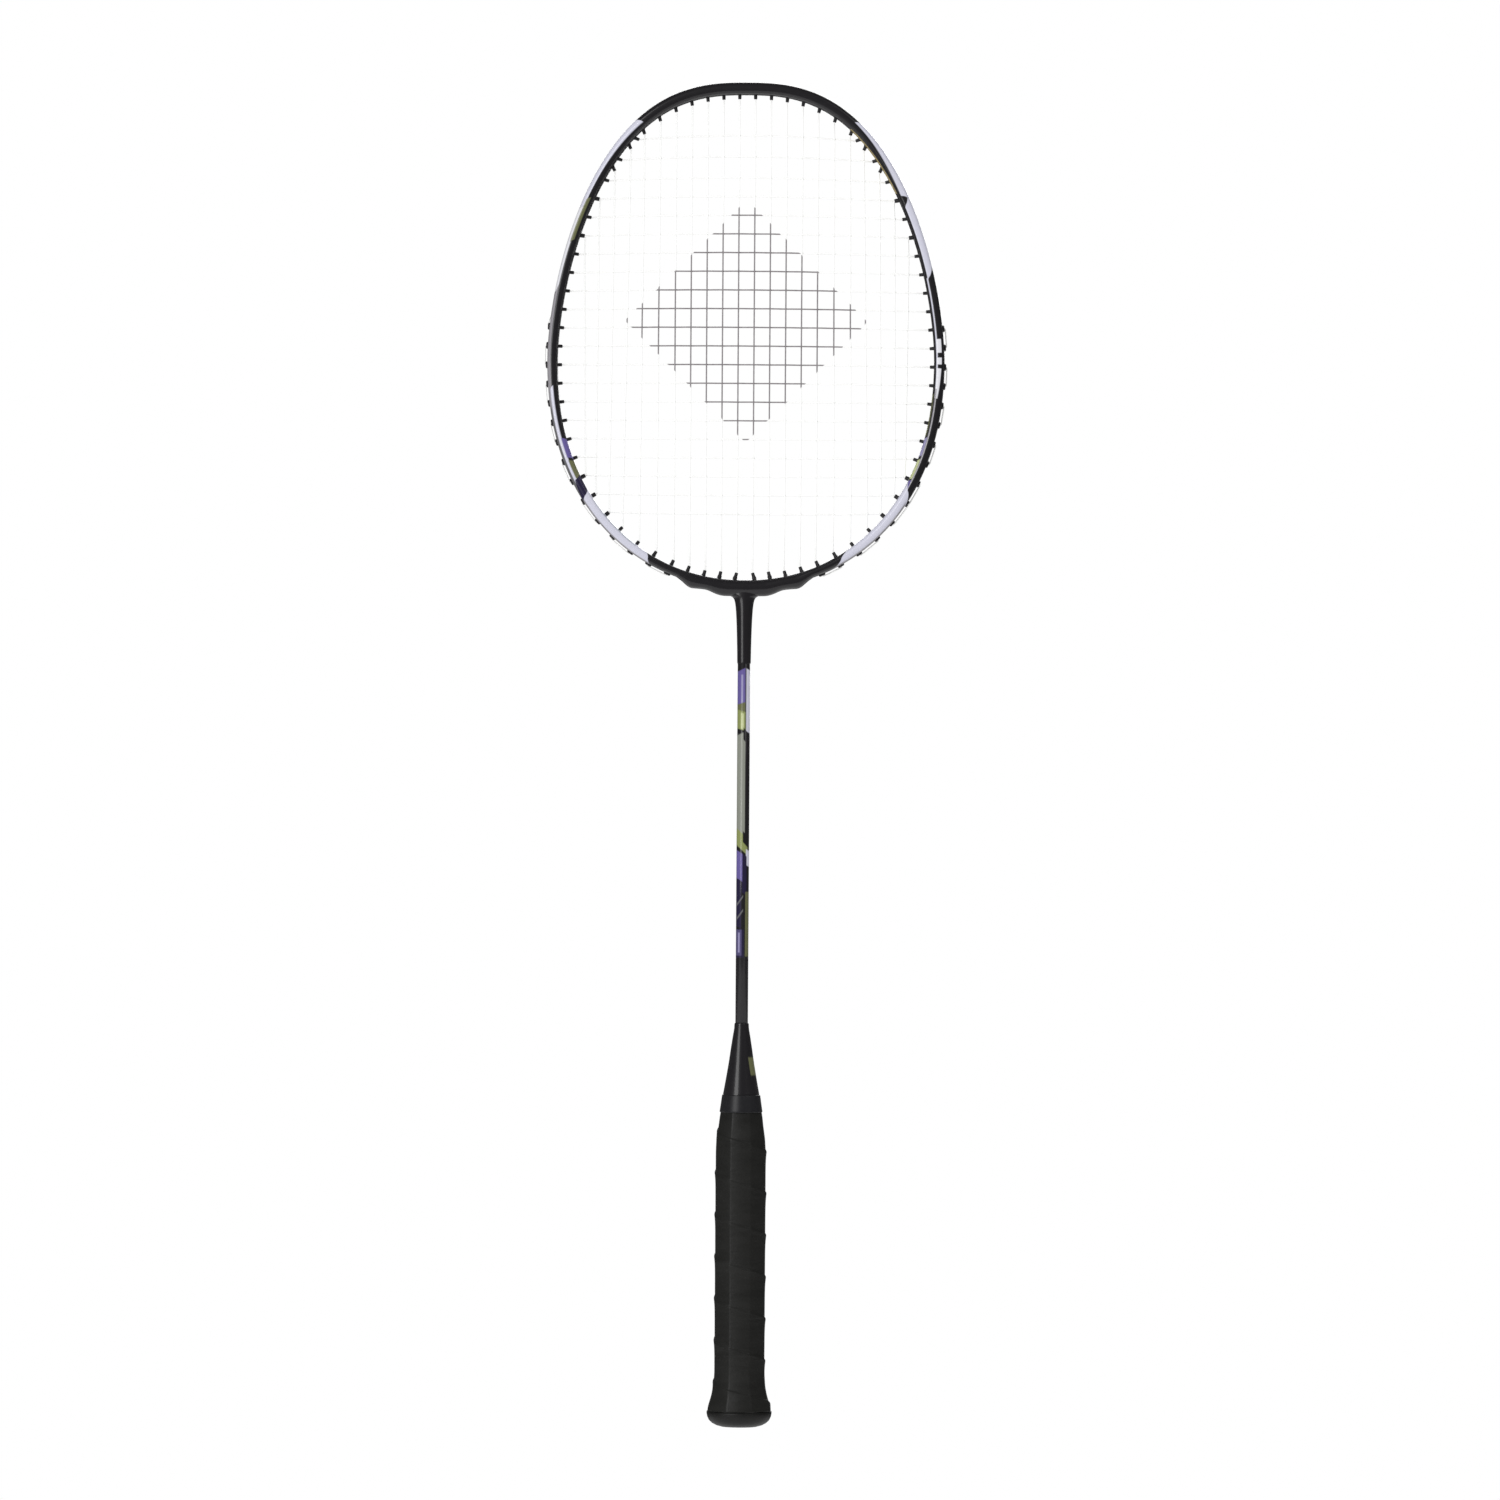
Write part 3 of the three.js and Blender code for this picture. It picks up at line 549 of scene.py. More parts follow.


# The shaft's paint, with painted highlights down its violet and lime bands. Each patch: its top and bottom
# level on the axis, its left and right edge as shares of the shaft's radius, lean (how many mm its ends
# rise from left to right), colour.
SHAFT_PATCHES = [
    (380.5, 362.5, -1.1, 0.25, 3, VIOLET),
    # Painted highlight: a narrow lighter streak down the violet band.
    (377.5, 363.0, -0.42, -0.10, 0, LIT_VIOLET),
    (363.5, 357.0, -1.1, 0.25, 2, OLIVE),
    (359.0, 349.5, -1.1, 0.30, -2, LIME),
    # Painted highlight: a paler streak down the lime band.
    (358.0, 350.0, -0.45, 0.05, -2, LIT_LIME),
    (381.5, 350.0, 0.42, 1.2, -4, SILVER),
    (348.5, 297.5, -1.1, 0.30, 3, GREY),
    (351.0, 345.0, 0.0, 0.60, -8, BLACK),
    (297.5, 289.0, -1.1, 0.75, -6, LIME),
    (299.0, 293.5, 0.0, 1.2, -7, BLACK),
    (291.0, 283.0, 0.50, 1.2, -4, SILVER),
    (287.5, 268.0, -0.1, 0.62, -4, INDIGO),
    (287.5, 273.5, -1.1, -0.05, -4, VIOLET),
    (273.5, 249.5, -1.1, -0.2, -4, INDIGO),
    (268.5, 236.0, 0.45, 1.2, 0, OLIVE),
    (266.5, 265.3, -0.9, 0.1, 9, STEEL),
    (259.5, 258.3, -0.9, 0.1, 9, STEEL),
    (249.5, 235.5, -1.1, 0.25, 0, INDIGO),
    (249.5, 236.5, -1.1, -0.1, 0, DUSK),
    # Painted highlight: a narrow lilac streak down the lower violet band.
    (248.0, 238.0, -0.66, -0.40, 0, LIT_VIOLET),
]


def shaft_paint():
    look = Nodes("shaft_paint_look")
    _, x, y, level = look.place()
    share = look.math("MULTIPLY", x, 1 / SHAFT_RADIUS)
    colour = look.mix(0.0, BLACK, BLACK)
    for top, bottom, left, right, lean, tint in SHAFT_PATCHES:
        leaned = look.math("MULTIPLY_ADD", share, -lean / 2, level)
        mask = look.both(look.band(leaned, bottom, top, 0.8), look.band(share, left, right, 0.12))
        colour = look.mix(mask, colour, tint)
    return lacquer(look, colour)


def cone_gloss():
    """Glossy black plastic with one yellow-green patch on its right shoulder."""
    look = Nodes("cone_plastic_look")
    _, x, y, level = look.place()
    across = look.math("SUBTRACT", x, look.math("MULTIPLY", look.math("SUBTRACT", 186.0, level), 0.16))
    mask = look.both(look.step(across, 3.3, 0.5), look.band(level, 176.5, 185.5, 1.4))
    return lacquer(look, look.mix(mask, BLACK, OLIVE))


def moulded(name, base, low, high, scale, height, depth=0.03):
    """A moulded or wound black with a faint mottle and fine surface relief."""
    look = Nodes(name)
    vector = look.place()[0]
    mottle = look.noise(vector, scale)
    look.colour(look.mix(mottle, tuple(c * 0.75 for c in base), tuple(c * 1.3 for c in base)))
    look.rough(look.span(mottle, low, high))
    look.shader.inputs["Specular IOR Level"].default_value = 0.3
    look.bump(look.noise(vector, scale * 6), height, depth)
    return look.material


def grip_cover():
    """Soft black cover: a fine leather-like grain, slightly shinier where it is rubbed."""
    look = Nodes("grip_cover_look")
    vector = look.place()[0]
    cells = look.add("ShaderNodeTexVoronoi")
    look.put(cells.inputs["Vector"], vector)
    cells.inputs["Scale"].default_value = 1.6
    stretch = look.add("ShaderNodeMapping")
    look.put(stretch.inputs["Vector"], vector)
    stretch.inputs["Scale"].default_value = (0.6, 0.6, 2.2)
    rub = look.noise(stretch.outputs[0], 0.09, 2.0)
    creases = look.noise(stretch.outputs[0], 0.22, 3.0)
    look.colour(look.mix(rub, (0.008, 0.008, 0.0072), (0.014, 0.014, 0.0125)))
    look.rough(look.span(rub, 0.30, 0.60))
    look.shader.inputs["Specular IOR Level"].default_value = 0.28
    grain = look.math("MULTIPLY_ADD", look.noise(vector, 2.5), 0.5, cells.outputs["Distance"])
    relief = look.math("MULTIPLY_ADD", creases, 9.0, grain)
    look.bump(relief, 0.5, 0.05)
    return look.material


STENCIL_MIDDLE = 555.0
STENCIL_HALF = 61.0


def string_nylon():
    """White nylon, stained grey-brown inside a plain diamond."""
    look = Nodes("string_look")
    vector, x, y, level = look.place()
    rise = look.math("ABSOLUTE", look.math("SUBTRACT", level, STENCIL_MIDDLE))
    spread = look.math("ADD", look.math("ABSOLUTE", x), rise)
    worn = look.noise(vector, 0.5, 3.0)
    edge = look.math("MULTIPLY_ADD", worn, 2.0, spread)
    mask = look.math("SUBTRACT", 1.0, look.step(edge, STENCIL_HALF + 1, 0.8))
    ink = look.math("MULTIPLY", mask, look.span(worn, 0.75, 1.0))
    look.colour(look.mix(ink, (0.93, 0.93, 0.92), (0.135, 0.115, 0.125)))
    look.rough(0.34)
    look.shader.inputs["Subsurface Weight"].default_value = 0.0
    look.bump(look.noise(vector, 3.0), 0.15, 0.02)
    return look.material


def tee_metal():
    """Bare bright-drawn metal, faintly scratched."""
    look = Nodes("tee_metal_look")
    vector = look.place()[0]
    look.colour((0.55, 0.55, 0.56))
    look.shader.inputs["Metallic"].default_value = 1.0
    look.rough(look.span(look.noise(vector, 2.0), 0.25, 0.45))
    look.bump(look.noise(vector, 5.0), 0.2, 0.02)
    return look.material


def handle_wood():
    """Pale wood with its grain running up the handle."""
    look = Nodes("handle_wood_look")
    vector = look.place()[0]
    stretch = look.add("ShaderNodeMapping")
    look.put(stretch.inputs["Vector"], vector)
    stretch.inputs["Scale"].default_value = (1.0, 1.0, 0.06)
    grain = look.noise(stretch.outputs[0], 1.2, 5.0)
    look.colour(look.mix(grain, (0.30, 0.19, 0.10), (0.52, 0.38, 0.22)))
    look.rough(look.span(grain, 0.5, 0.7))
    look.bump(grain, 0.3, 0.1)
    return look.material


FRAME_PAINT = frame_paint()
SHAFT_PAINT = shaft_paint()
CONE_GLOSS = cone_gloss()
GRIP_COVER = grip_cover()
CLOSING_TAPE = moulded("closing_tape_look", (0.012, 0.012, 0.014), 0.30, 0.42, 0.5, 0.25)
BUTT_PLASTIC = moulded("butt_plastic_look", (0.006, 0.006, 0.0054), 0.42, 0.56, 0.7, 0.4)
STRING_NYLON = string_nylon()
GROMMET_NYLON = moulded("grommet_nylon_look", (0.016, 0.015, 0.017), 0.32, 0.48, 0.9, 0.3)

for node_name, material in (("t_joint", tee_metal()), ("handle_core", handle_wood())):
    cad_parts[node_name].data.materials.clear()
    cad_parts[node_name].data.materials.append(material)

# ---------- hoop ----------

THROAT_PAD = [
    (0, 416.9),
    (10.5, 416.9),
    (13.5, 417.7),
    (18.5, 420.0),
    (21.5, 420.4),
    (26.8, 420.8),
    (33.5, 426.0),
]
PAD_EASE = 1.4


def pad_extra(point, normal):
    """How far the throat pad stands out from the oval at one of its bottom points."""
    reach = abs(point[0])
    if point[1] > WIDEST_LEVEL or reach > THROAT_PAD[-1][0]:
        return 0.0
    nearby = [reach + PAD_EASE * step / 4 for step in range(-4, 5)]
    level = np.interp(nearby, [p[0] for p in THROAT_PAD], [p[1] for p in THROAT_PAD]).mean()
    return max(0.0, (point[1] - level) / max(-normal[1], 0.3))


def hoop_section(inner, extra, groove):
    """One section of the hoop as (outward, through, across) rows: a rounded box, grooved outside."""
    power = 2.7
    half = (extra + inner) / 2
    centre = (extra - inner) / 2
    lip = math.asin((GROOVE_HALF_WIDTH / (HOOP_DEPTH / 2)) ** (power / 2))
    upper = []
    for i in range(17):
        angle = math.pi - (math.pi - lip) * i / 16
        c, s = math.cos(angle), math.sin(angle)
        out = centre + math.copysign(half * abs(c) ** (2 / power), c)
        upper.append((out, HOOP_DEPTH / 2 * abs(s) ** (2 / power), i / 16))
    edge = upper[-1][0]
    floor = edge - groove
    upper.append((edge - 0.1 * groove, GROOVE_HALF_WIDTH - 0.1, 1.0))
    upper.append((floor + 0.1 * groove, GROOVE_HALF_WIDTH - 0.16, 1.0))
    upper.append((floor, GROOVE_HALF_WIDTH - 0.3, 1.0))
    upper.append((floor, 0.0, 1.0))
    lower = [(out, -through, across) for out, through, across in upper[-2:0:-1]]
    return upper + lower


def groove_depth(point, extra):
    """The groove is deep round the top and in the throat pads, and a shallow channel between them."""
    shallow = 0.35
    if extra > 0.05:
        return max(shallow, extra)
    rise = (point[1] - GROOVE_END) / 4
    blend = min(max(rise, 0.0), 1.0)
    return shallow + (GROOVE_DEPTH - shallow) * blend


def build_hoop(material):
    stations, along, length = oval_stations(560)
    rings = []
    marks = []
    for point, run in zip(stations, along):
        normal = oval_normal(OUTER_OVAL, point)
        inner = distance_out(inset(OUTER_OVAL, 0), point - normal * 30, normal) - distance_out(
            INNER_OVAL, point - normal * 30, normal
        )
        extra = pad_extra(point, normal)
        section = hoop_section(inner, extra, groove_depth(point, extra))
        ring = []
        for out, through, across in section:
            squeeze = 1.0 - 0.2 * max(0.0, out) / 3.6
            place = point + normal * out
            ring.append((place[0], through * squeeze, place[1]))
            marks.append((min(run, length - run), across))
        rings.append(ring)
    points, faces = skin(rings, closed=True)
    hoop = new_piece("hoop_skin", points, faces, ["head_frame"], material)
    for index, name in enumerate(("along", "across")):
        attribute = hoop.data.attributes.new(name, "FLOAT", "POINT")
        attribute.data.foreach_set("value", [mark[index] for mark in marks])
    return hoop


STEM = [
    # level, half-width across, half-depth through
    (STEM_END, 3.2, 3.2),
    (STEM_END + 0.25, 3.4, 3.4),
    (390, 3.5, 3.5),
    (400, 3.75, 3.75),
    (406, 4.0, 4.05),
    (411, 4.35, 4.25),
    (414.5, 4.9, 4.35),
    (416.2, 5.8, 4.4),
    (417.3, 7.4, 4.4),
    (419.5, 9.0, 4.3),
]


def build_stem(material):
    rings = []
    for level, across, through in smooth_profile(STEM, 6):
        angles = [TURN * i / 48 for i in range(48)]
        rings.append([(across * math.cos(a), through * math.sin(a), level) for a in angles])
    points, faces = skin(rings)
    return new_piece("throat_stem", points, faces, ["head_frame"], material)


build_hoop(FRAME_PAINT)
build_stem(FRAME_PAINT)

# ---------- grommets ----------

# Barrel radii, outside and bore: for one string, and for a hole that a main and a cross share.
BARREL_RADII = {False: (0.82, 0.56), True: (1.02, 0.76)}
FLANGE_RADIUS = 1.75
FLANGE_THICKNESS = 0.8


def ring_about(hole, radius, distance, sides=20):
    """A ring of points about a hole's axis at a distance from its tip."""
    centre = hole.at(distance)
    axis = hole.direction()
    sideways = np.array((-axis[1], axis[0]))
    ring = []
    for i in range(sides):
        angle = TURN * i / sides
        place = centre + sideways * radius * math.cos(angle)
        ring.append((place[0], radius * math.sin(angle), place[1]))
    return ring if hole.side > 0 else ring[::-1]


def barrel_skin(hole, flange):
    """A tapered barrel with a rounded mouth, with a domed flange on the outside or a plain root."""
    top = hole.surface
    outside, bore = BARREL_RADII[hole.shared]
    rows = [
        (bore, 1.5),
        (bore, 0.25),
        (bore + 0.05, 0.06),
        (outside - 0.12, 0.0),
        (outside - 0.04, 0.06),
        (outside, 0.25),
        (outside + 0.06, BARREL_REACH),
        (outside + 0.3, BARREL_REACH + 0.5),
    ]
    if flange:
        rows += [
            (outside, top - 0.3),
            (FLANGE_RADIUS, top - 0.25),
            (FLANGE_RADIUS, top + 0.35),
            (FLANGE_RADIUS - 0.25, top + FLANGE_THICKNESS - 0.1),
            (FLANGE_RADIUS - 0.7, top + FLANGE_THICKNESS),
            (bore + 0.08, top + FLANGE_THICKNESS - 0.05),
            (bore, top + FLANGE_THICKNESS - 0.2),
        ]
    else:
        root = min(top - GROOVE_DEPTH, BARREL_REACH + 3.2)
        rows += [(outside, root), (bore, root)]
    return skin([ring_about(hole, radius, distance) for radius, distance in rows], closed=True)


def build_single_grommet(side, hole, node):
    points, faces = barrel_skin(hole, True)
    return new_piece(node + "_moulded", points, faces, [node], GROMMET_NYLON)


def web_skin(start, end):
    """The strip's web in the groove, between two angles round the outer oval."""
    rings = []
    steps = max(24, int(abs(end - start) * 60))
    for i in range(steps + 1):
        angle = start + (end - start) * i / steps
        low = oval_point(inset(OUTER_OVAL, 1.62), angle)
        high = oval_point(inset(OUTER_OVAL, 1.05), angle)
        edge = oval_point(inset(OUTER_OVAL, 1.15), angle)
        half = GROOVE_HALF_WIDTH - 0.25
        top = half - 0.15
        outline = [(low, -half), (low, half), (edge, half), (high, top), (high, -top), (edge, -half)]
        rings.append([(place[0], through, place[1]) for place, through in outline])
    return skin(rings)


def build_strip(name, node, holes, start, end):
    parts = [web_skin(start, end)] + [barrel_skin(hole, False) for hole in holes]
    points, faces = merge(parts)
    return new_piece(name, points, faces, [node], GROMMET_NYLON)


def angle_between(first, second):
    middle = (first.at(first.surface) + second.at(second.surface)) / 2
    return oval_angle(OUTER_OVAL, middle)


def build_grommets():
    crown_end = angle_between(HOLES[1][f"T{CROWN_MAINS}"], HOLES[1]["C1"])
    foot = oval_angle(OUTER_OVAL, (oval_reach(OUTER_OVAL, GROOVE_END + 2), GROOVE_END + 2))
    gap = 0.004
    crown = [HOLES[side][f"T{main}"] for side in (1, -1) for main in range(1, CROWN_MAINS + 1)]
    crown_start = crown_end + gap
    build_strip("crown_strip_moulded", "crown_grommet_strip", crown, crown_start, math.pi - crown_start)
    names = ["T8", "T9"] + [f"C{cross}" for cross in range(1, LAST_STRIP_CROSS + 1)]
    right = [HOLES[1][name] for name in names]
    left = [HOLES[-1][name] for name in names]
    build_strip("right_strip_moulded", "right_grommet_strip", right, foot, crown_end - gap)
    build_strip("left_strip_moulded", "left_grommet_strip", left, math.pi - crown_end + gap, math.pi - foot)
    for side, word in ((-1, "left"), (1, "right")):
        for cross in range(LAST_STRIP_CROSS + 1, CROSS_COUNT + 1):
            build_single_grommet(side, HOLES[side][f"C{cross}"], f"cross_grommet_{word}_{cross}")
        for main in range(1, min(SHARED_BOTTOM)):
            build_single_grommet(side, HOLES[side][f"B{main}"], f"main_grommet_{word}_{main}")


build_grommets()

# ---------- strings ----------

SHARED_OFFSET = 0.38
LONE_OFFSET = 0.18
WEAVE_MAIN = 0.28
WEAVE_CROSS = 0.46
STRING_SIDES = 10
NEAREST_CROSSING = 1.5
# The crosses bow a little between their ends: upwards above this level, downwards below it.
CROSS_BOW = 0.0155
CROSS_BOW_LEVEL = 495.0


def tube_skin(path, radius, sides):
    """A round skin along a path, with frames carried along it without twist."""
    path = np.array(path, float)
    ahead = np.vstack((path[1:], path[-1:])) - np.vstack((path[:1], path[:-1]))
    ahead /= np.linalg.norm(ahead, axis=1)[:, None]
    normal = np.array((0.0, 1.0, 0.0))
    rings = []
    for place, forward in zip(path, ahead):
        normal = normal - forward * normal.dot(forward)
        normal /= np.linalg.norm(normal)
        other = np.cross(forward, normal)
        ring = []
        for i in range(sides):
            angle = TURN * i / sides
            ring.append(tuple(place + radius * (math.cos(angle) * normal + math.sin(angle) * other)))
        rings.append(ring)
    return skin(rings)


def rounded_corners(places, radius, steps):
    """The path through the places with each sharp corner taken by a short curve."""
    places = [np.array(p, float) for p in places]
    path = [places[0]]
    for before, here, after in zip(places, places[1:], places[2:]):
        into = here - before
        out = after - here
        reach = min(radius, np.linalg.norm(into) * 0.45, np.linalg.norm(out) * 0.45)
        start = here - into / np.linalg.norm(into) * reach
        end = here + out / np.linalg.norm(out) * reach
        bend = into.dot(out) / np.linalg.norm(into) / np.linalg.norm(out)
        count = steps if bend < 0.9 else 2
        for i in range(count + 1):
            t = i / count
            path.append((1 - t) ** 2 * start + 2 * t * (1 - t) * here + t * t * end)
    path.append(places[-1])
    return path


def offset(hole):
    """How far a string lies off the middle of its hole, through the racket."""
    return SHARED_OFFSET if hole.shared else LONE_OFFSET


def lifted(hole, y):
    """Where a string turns on the outside of a hole."""
    lift = hole.surface - 0.62 if hole.grooved else hole.surface + FLANGE_THICKNESS + STRING_RADIUS + 0.05
    place = hole.at(lift)
    return (place[0], y, place[1])


def mouth(hole, y):
    place = hole.at(-0.4)
    return (place[0], y, place[1])


def loop_places(first, second, y):
    """The string's way along the groove between two holes."""
    if not (first.grooved and second.grooved):
        return []
    oval = inset(OUTER_OVAL, 0.62)
    start = oval_angle(oval, first.at(first.surface))
    turn = oval_angle(oval, second.at(second.surface)) - start
    turn = (turn + math.pi) % TURN - math.pi
    steps = math.ceil(abs(turn) * 100 / 5)
    places = []
    for i in range(1, steps):
        place = oval_point(oval, start + turn * i / steps)
        places.append((place[0], y, place[1]))
    return places


def crossing(side, main, cross):
    """Where a main meets a cross as (x, level), or None if it ends before it."""
    tip = HOLES[1][f"C{cross}"].tip
    top = top_hole(side, main).at(0)
    bottom = bottom_hole(side, main).at(0)
    share = (tip[1] - bottom[1]) / (top[1] - bottom[1])
    if not 0.01 < share < 0.99:
        return None
    x = bottom[0] + (top[0] - bottom[0]) * share
    if abs(x) > tip[0] - NEAREST_CROSSING:
        return None
    bow = CROSS_BOW * (tip[1] - CROSS_BOW_LEVEL) * (1 - (x / tip[0]) ** 2)
    return x, tip[1] + bow


def over(main, cross):
    """Which side a cross passes a main on: 1 behind it, -1 in front of it."""
    return 1 if (main + (1 if main > 0 else 0) + cross) % 2 == 0 else -1


def cross_crossings(cross):
    """The places where a cross meets the mains, from left to right, as (main, x, level)."""
    rows = []
    for main in range(-MAIN_COUNT, MAIN_COUNT + 1):
        place = crossing(int(math.copysign(1, main)), abs(main), cross) if main else None
        if place:
            rows.append((main, *place))
    return rows


def woven_main(side, main, start, end):
    """A main's run between its holes, with a small wave round each cross."""
    rows = []
    for cross in range(1, CROSS_COUNT + 1):
        place = crossing(side, main, cross)
        if place:
            rows.append((place[0], -over(side * main, cross) * WEAVE_MAIN, place[1]))
    rows.sort(key=lambda row: row[2], reverse=start.tip[1] > end.tip[1])
    return rows


def waved(rows):
    """Fills in a smooth wave between the places where strings cross."""
    path = []
    for here, after in zip(rows, rows[1:]):
        here, after = np.array(here, float), np.array(after, float)
        for i in range(4):
            t = i / 4
            place = here + (after - here) * t
            place[1] = here[1] + (after[1] - here[1]) * (1 - math.cos(math.pi * t)) / 2
            path.append(place)
    path.append(np.array(rows[-1], float))
    return path


def build_main_string():
    order = [(-1, main) for main in range(MAIN_COUNT, 0, -1)]
    order += [(1, main) for main in range(1, MAIN_COUNT + 1)]
    path = []
    corner = []
    previous = None
    for index, (side, main) in enumerate(order):
        top, bottom = top_hole(side, main), bottom_hole(side, main)
        start, end = (bottom, top) if index % 2 == 0 else (top, bottom)
        if previous:
            corner += loop_places(previous, start, -SHARED_OFFSET)
        corner += [lifted(start, -offset(start)), mouth(start, -offset(start))]
        run = waved(woven_main(side, main, start, end))
        path += rounded_corners(corner + [tuple(run[0])], 0.9, 5)[:-1] + run
        corner = [tuple(run[-1]), mouth(end, -offset(end)), lifted(end, -offset(end))]
        previous = end
    path += rounded_corners(corner, 0.9, 5)[1:]
    points, faces = tube_skin(clean(path), STRING_RADIUS, STRING_SIDES)
    return new_piece("main_string_round", points, faces, ["main_string"], STRING_NYLON)


def build_cross_string():
    path = []
    corner = []
    previous = None
    for cross in range(1, CROSS_COUNT + 1):
        left, right = HOLES[-1][f"C{cross}"], HOLES[1][f"C{cross}"]
        rows = [(x, over(main, cross) * WEAVE_CROSS, level) for main, x, level in cross_crossings(cross)]
        start, end = (left, right) if cross % 2 == 1 else (right, left)
        if cross % 2 == 0:
            rows.reverse()
        if previous:
            corner += loop_places(previous, start, SHARED_OFFSET)
        corner += [lifted(start, offset(start)), mouth(start, offset(start))]
        run = waved(rows)
        path += rounded_corners(corner + [tuple(run[0])], 0.9, 5)[:-1] + run
        corner = [tuple(run[-1]), mouth(end, offset(end)), lifted(end, offset(end))]
        previous = end
    path += rounded_corners(corner, 0.9, 5)[1:]
    points, faces = tube_skin(clean(path), STRING_RADIUS, STRING_SIDES)
    return new_piece("cross_string_round", points, faces, ["cross_string"], STRING_NYLON)


def clean(path):
    """The path without points that lie on top of each other."""
    kept = [np.array(path[0], float)]
    for place in path[1:]:
        if np.linalg.norm(np.array(place) - kept[-1]) > 0.05:
            kept.append(np.array(place, float))
    return kept


build_main_string()
build_cross_string()

# ---------- shaft and cone ----------


def build_shaft():
    profile = [
        (SHAFT_RADIUS, SHAFT_FOOT),
        (SHAFT_RADIUS, STEM_END - 0.4),
        (SHAFT_RADIUS - 0.1, STEM_END - 0.3),
    ]
    points, faces = turned(profile, 64)
    return new_piece("shaft_tube", points, faces, ["shaft"], SHAFT_PAINT)


CONE = [
    (3.35, 202.6),
    (3.6, 202.0),
    (3.75, 199.6),
    (4.5, 195.2),
    (5.45, 189),
    (6.3, 183),
    (7.3, 177),
    (8.35, 171),
    (8.9, 168),
    (9.1, 166.4),
    (9.2, 160),
    (9.2, 147),
]


def build_cone():
    profile = smooth_profile(CONE, 4)
    points, faces = turned(profile[::-1], 72)
    return new_piece("cone_moulded", points, faces, ["cone_cap"], CONE_GLOSS)


build_shaft()
build_cone()

# ---------- handle ----------

GRIP_OUTLINE = [
    (10.3, 159.6),
    (10.9, 156.0),
    (11.6, 150.5),
    (12.5, 144.5),
    (12.85, 138.5),
    (12.9, 120),
    (12.9, 60),
    (12.9, 27),
    (13.4, 20),
    (14.3, 15.5),
    (15.5, 11.8),
    (16.2, 9.2),
    (16.3, 8.0),
]
GRIP_SINK = 0.35
GRIP_SOFTNESS = 0.55
WRAP_PITCH = 21.0
WRAP_STEP = 0.55
WRAP_START = 138.0
WRAP_LIP = 0.045
WRAP_CREASE = 0.12


def eight_sided(angle, softness):
    """The distance to a rounded eight-sided outline whose flats are one unit away."""
    flat = math.pi / 4
    offset = (angle + flat / 2) % flat - flat / 2
    return 1 + softness * (1 / math.cos(offset) - 1)


def wrap_height(level, angle):
    """The wound strip's surface: each turn rises towards its free edge and steps down there."""
    phase = ((level - WRAP_START) / WRAP_PITCH + angle / TURN) % 1.0
    if phase < WRAP_LIP:
        t = phase / WRAP_LIP
        return WRAP_STEP * (1 - t * t * (3 - 2 * t)) - WRAP_CREASE * math.sin(math.pi * t)
    t = (phase - WRAP_LIP) / (1 - WRAP_LIP)
    rise = t ** 0.6 if t > 0 else 0.0
    return WRAP_STEP * (0.1 * rise + 0.9 * t ** 6) if t < 1 else WRAP_STEP


def build_grip():
    foot = GRIP_OUTLINE[-1][1]
    head = GRIP_OUTLINE[0][1]
    levels = np.arange(foot, head, 0.4)
    flats = np.interp(levels, [p[1] for p in GRIP_OUTLINE[::-1]], [p[0] for p in GRIP_OUTLINE[::-1]])
    kernel = np.ones(9) / 9
    padded = np.concatenate((np.full(4, flats[0]), flats, np.full(4, flats[-1])))
    flats = np.convolve(padded, kernel, mode="valid")
    sides = 144
    rings = []
    for level, flat in zip(levels, flats):
        ring = []
        for i in range(sides):
            angle = TURN * i / sides
            edge = min(1.0, (level - foot) / 3)
            top = min(1.0, (head - level) / 6)
            swell = wrap_height(level, angle) * edge * top
            radius = (flat - GRIP_SINK + swell) * eight_sided(angle, GRIP_SOFTNESS)
            ring.append((radius * math.cos(angle), radius * math.sin(angle) * GRIP_FLATTEN, level))
        rings.append(ring)
    points, faces = skin(rings)
    grip = new_piece("grip_wound", points, faces, ["grip_wrap"], GRIP_COVER)
    return grip


TAPE = [
    (9.2, 166.6),
    (9.5, 166.5),
    (9.62, 166.1),
    (10.05, 163),
    (10.55, 159.5),
    (10.75, 158.2),
    (10.68, 157.9),
    (10.3, 157.9),
]
TAPE_FLATTEN = 0.985


def build_tape():
    points, faces = turned(TAPE[::-1], 96, TAPE_FLATTEN)
    return new_piece("tape_band", points, faces, ["grip_finishing_tape"], CLOSING_TAPE)


BUTT = [
    (0.0, 0.0),
    (9.0, 0.02),
    (11.5, 0.7),
    (13.6, 1.8),
    (15.1, 3.2),
    (16.0, 5.0),
    (16.35, 6.8),
    (16.3, 7.7),
    (15.6, 7.9),
    (0.0, 7.9),
]
BUTT_CENTRE = 0.6


def build_butt():
    points, faces = turned([(max(r, BUTT_CENTRE), z) for r, z in BUTT], 96, GRIP_FLATTEN)
    return new_piece("butt_moulded", points, faces, ["butt_cap"], BUTT_PLASTIC)


build_grip()
build_tape()
build_butt()

# ---------- studio ----------


def build_floor():
    level = -600.0
    half = 1600.0
    mesh = bpy.data.meshes.new("floor")
    corners = [(-half, -half, level), (half, -half, level), (half, half, level), (-half, half, level)]
    mesh.from_pydata([tuple(c * MM for c in p) for p in corners], [], [(0, 1, 2, 3)])
    floor = bpy.data.objects.new("floor", mesh)
    bpy.context.scene.collection.objects.link(floor)
    look = Nodes("floor_look")
    look.colour((0.8, 0.8, 0.8))
    look.rough(0.9)
    mesh.materials.append(look.material)


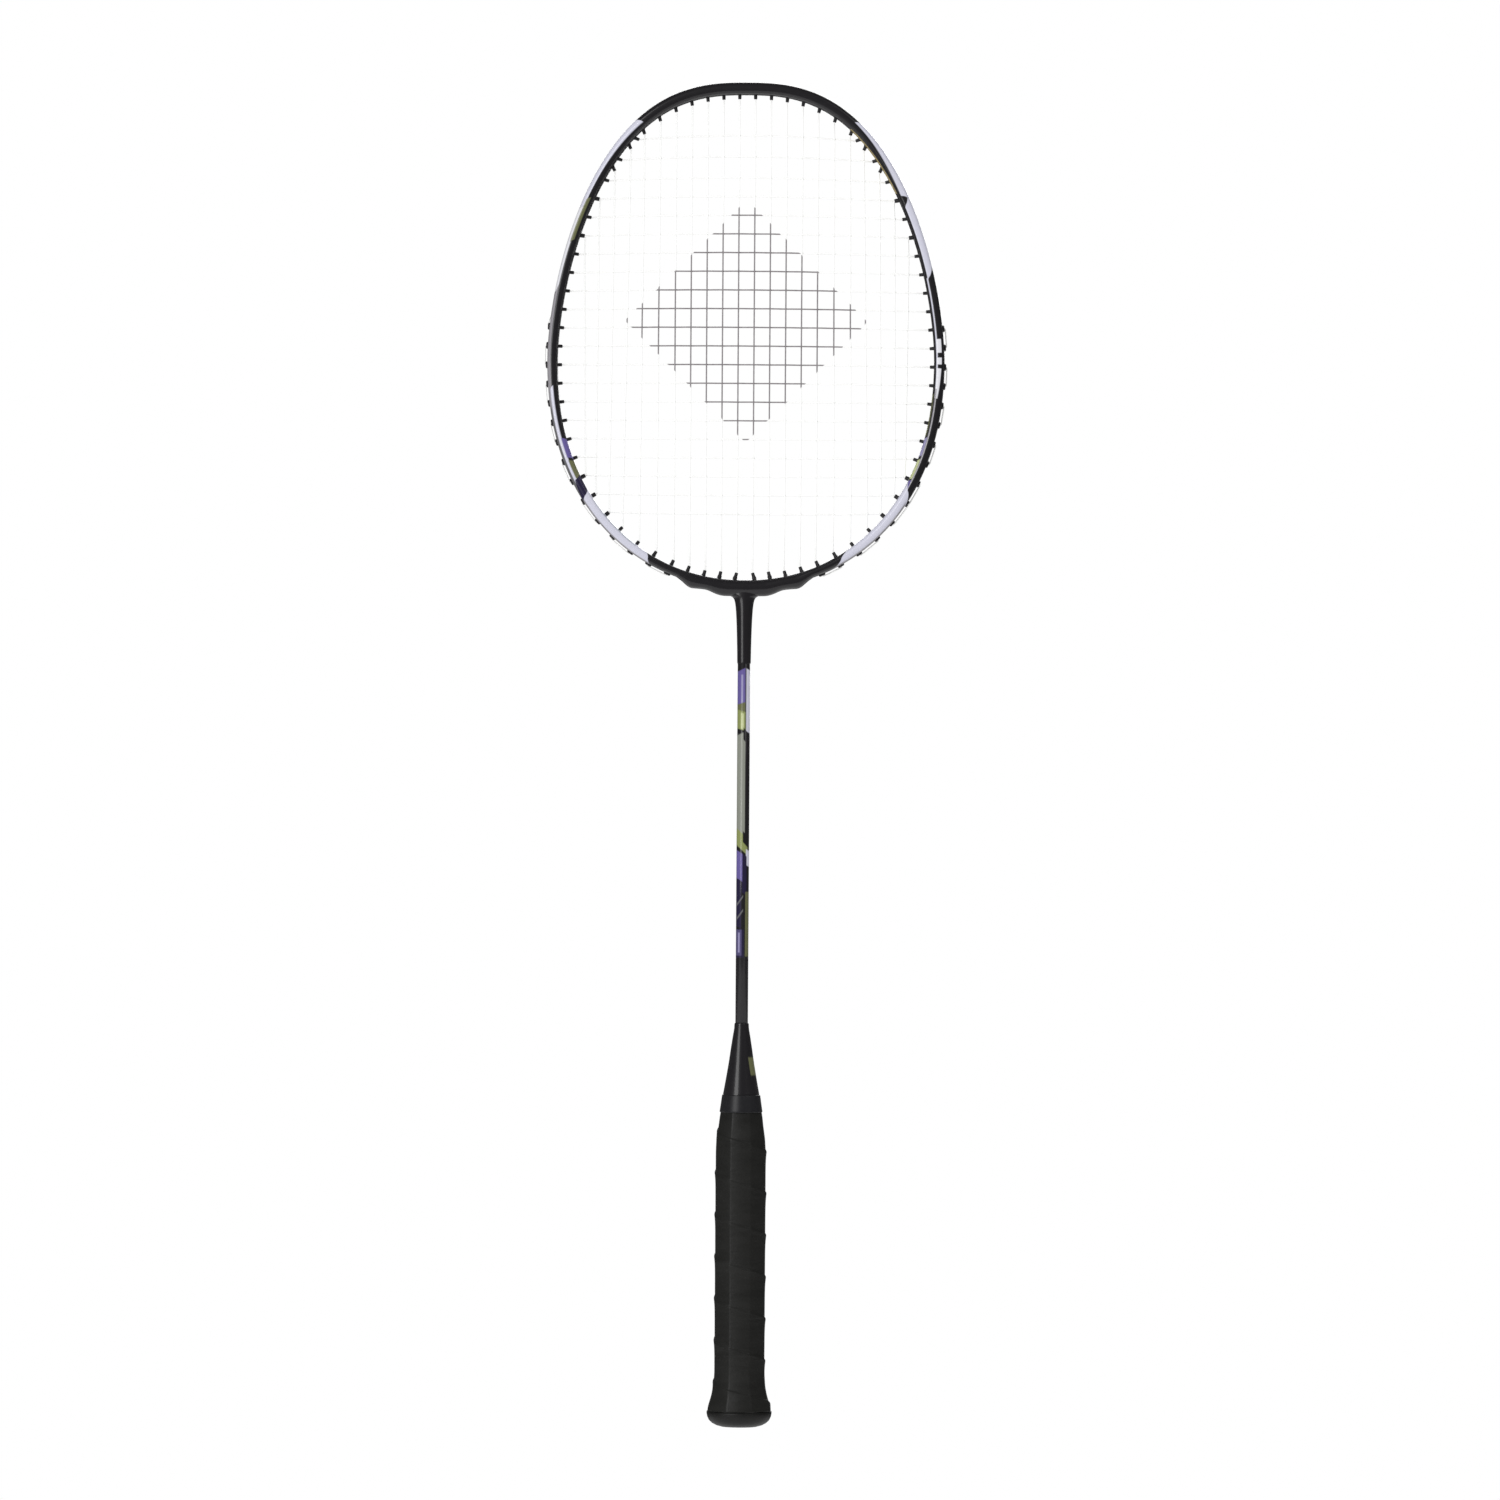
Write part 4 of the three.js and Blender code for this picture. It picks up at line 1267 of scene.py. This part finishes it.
def build_light(name, place, size, power):
    data = bpy.data.lights.new(name, "AREA")
    data.shape = "RECTANGLE"
    data.size = size[0]
    data.size_y = size[1]
    data.energy = power
    light = bpy.data.objects.new(name, data)
    light.location = place
    direction = Vector((0, 0, 0.35)) - Vector(place)
    light.rotation_euler = direction.to_track_quat("-Z", "Y").to_euler()
    bpy.context.scene.collection.objects.link(light)


WORLD_FILL = 0.75
WORLD_SHINE = 0.10


def build_world():
    """White to the camera, bright to matt surfaces and dim in reflections."""
    world = bpy.data.worlds.new("studio")
    world.use_nodes = True
    tree = world.node_tree
    path = tree.nodes.new("ShaderNodeLightPath")
    shader = None
    for ray, strength in ((None, WORLD_FILL), ("Is Glossy Ray", WORLD_SHINE), ("Is Camera Ray", 1.0)):
        background = tree.nodes.new("ShaderNodeBackground")
        background.inputs["Strength"].default_value = strength
        background.inputs["Color"].default_value = (1, 1, 1, 1)
        if ray:
            mix = tree.nodes.new("ShaderNodeMixShader")
            tree.links.new(path.outputs[ray], mix.inputs[0])
            tree.links.new(shader, mix.inputs[1])
            tree.links.new(background.outputs[0], mix.inputs[2])
            shader = mix.outputs[0]
        else:
            shader = background.outputs[0]
    tree.links.new(shader, tree.nodes["World Output"].inputs["Surface"])
    bpy.context.scene.world = world


CAMERA_DISTANCE = 4.185
CAMERA_LENS = 200.0
SENSOR = 36.0
CAMERA_LEVEL = 0.3397
CAMERA_SIDE = 0.0033
CAMERA_ROLL = -0.38


def build_camera():
    data = bpy.data.cameras.new("camera")
    data.lens = CAMERA_LENS
    data.sensor_width = SENSOR
    data.clip_end = 50
    camera = bpy.data.objects.new("camera", data)
    camera.location = (CAMERA_SIDE, -CAMERA_DISTANCE, CAMERA_LEVEL)
    camera.rotation_euler = (math.radians(90), math.radians(CAMERA_ROLL), 0)
    bpy.context.scene.collection.objects.link(camera)
    bpy.context.scene.camera = camera


build_floor()
build_world()
build_light("key", (-1.6, -2.4, 1.1), (1.3, 2.4), 42)
build_light("fill", (1.9, -2.0, 2.2), (1.4, 1.2), 9)
build_light("back", (0.4, 2.2, 1.4), (1.6, 1.6), 30)
build_camera()
bpy.context.scene.view_settings.view_transform = "Standard"
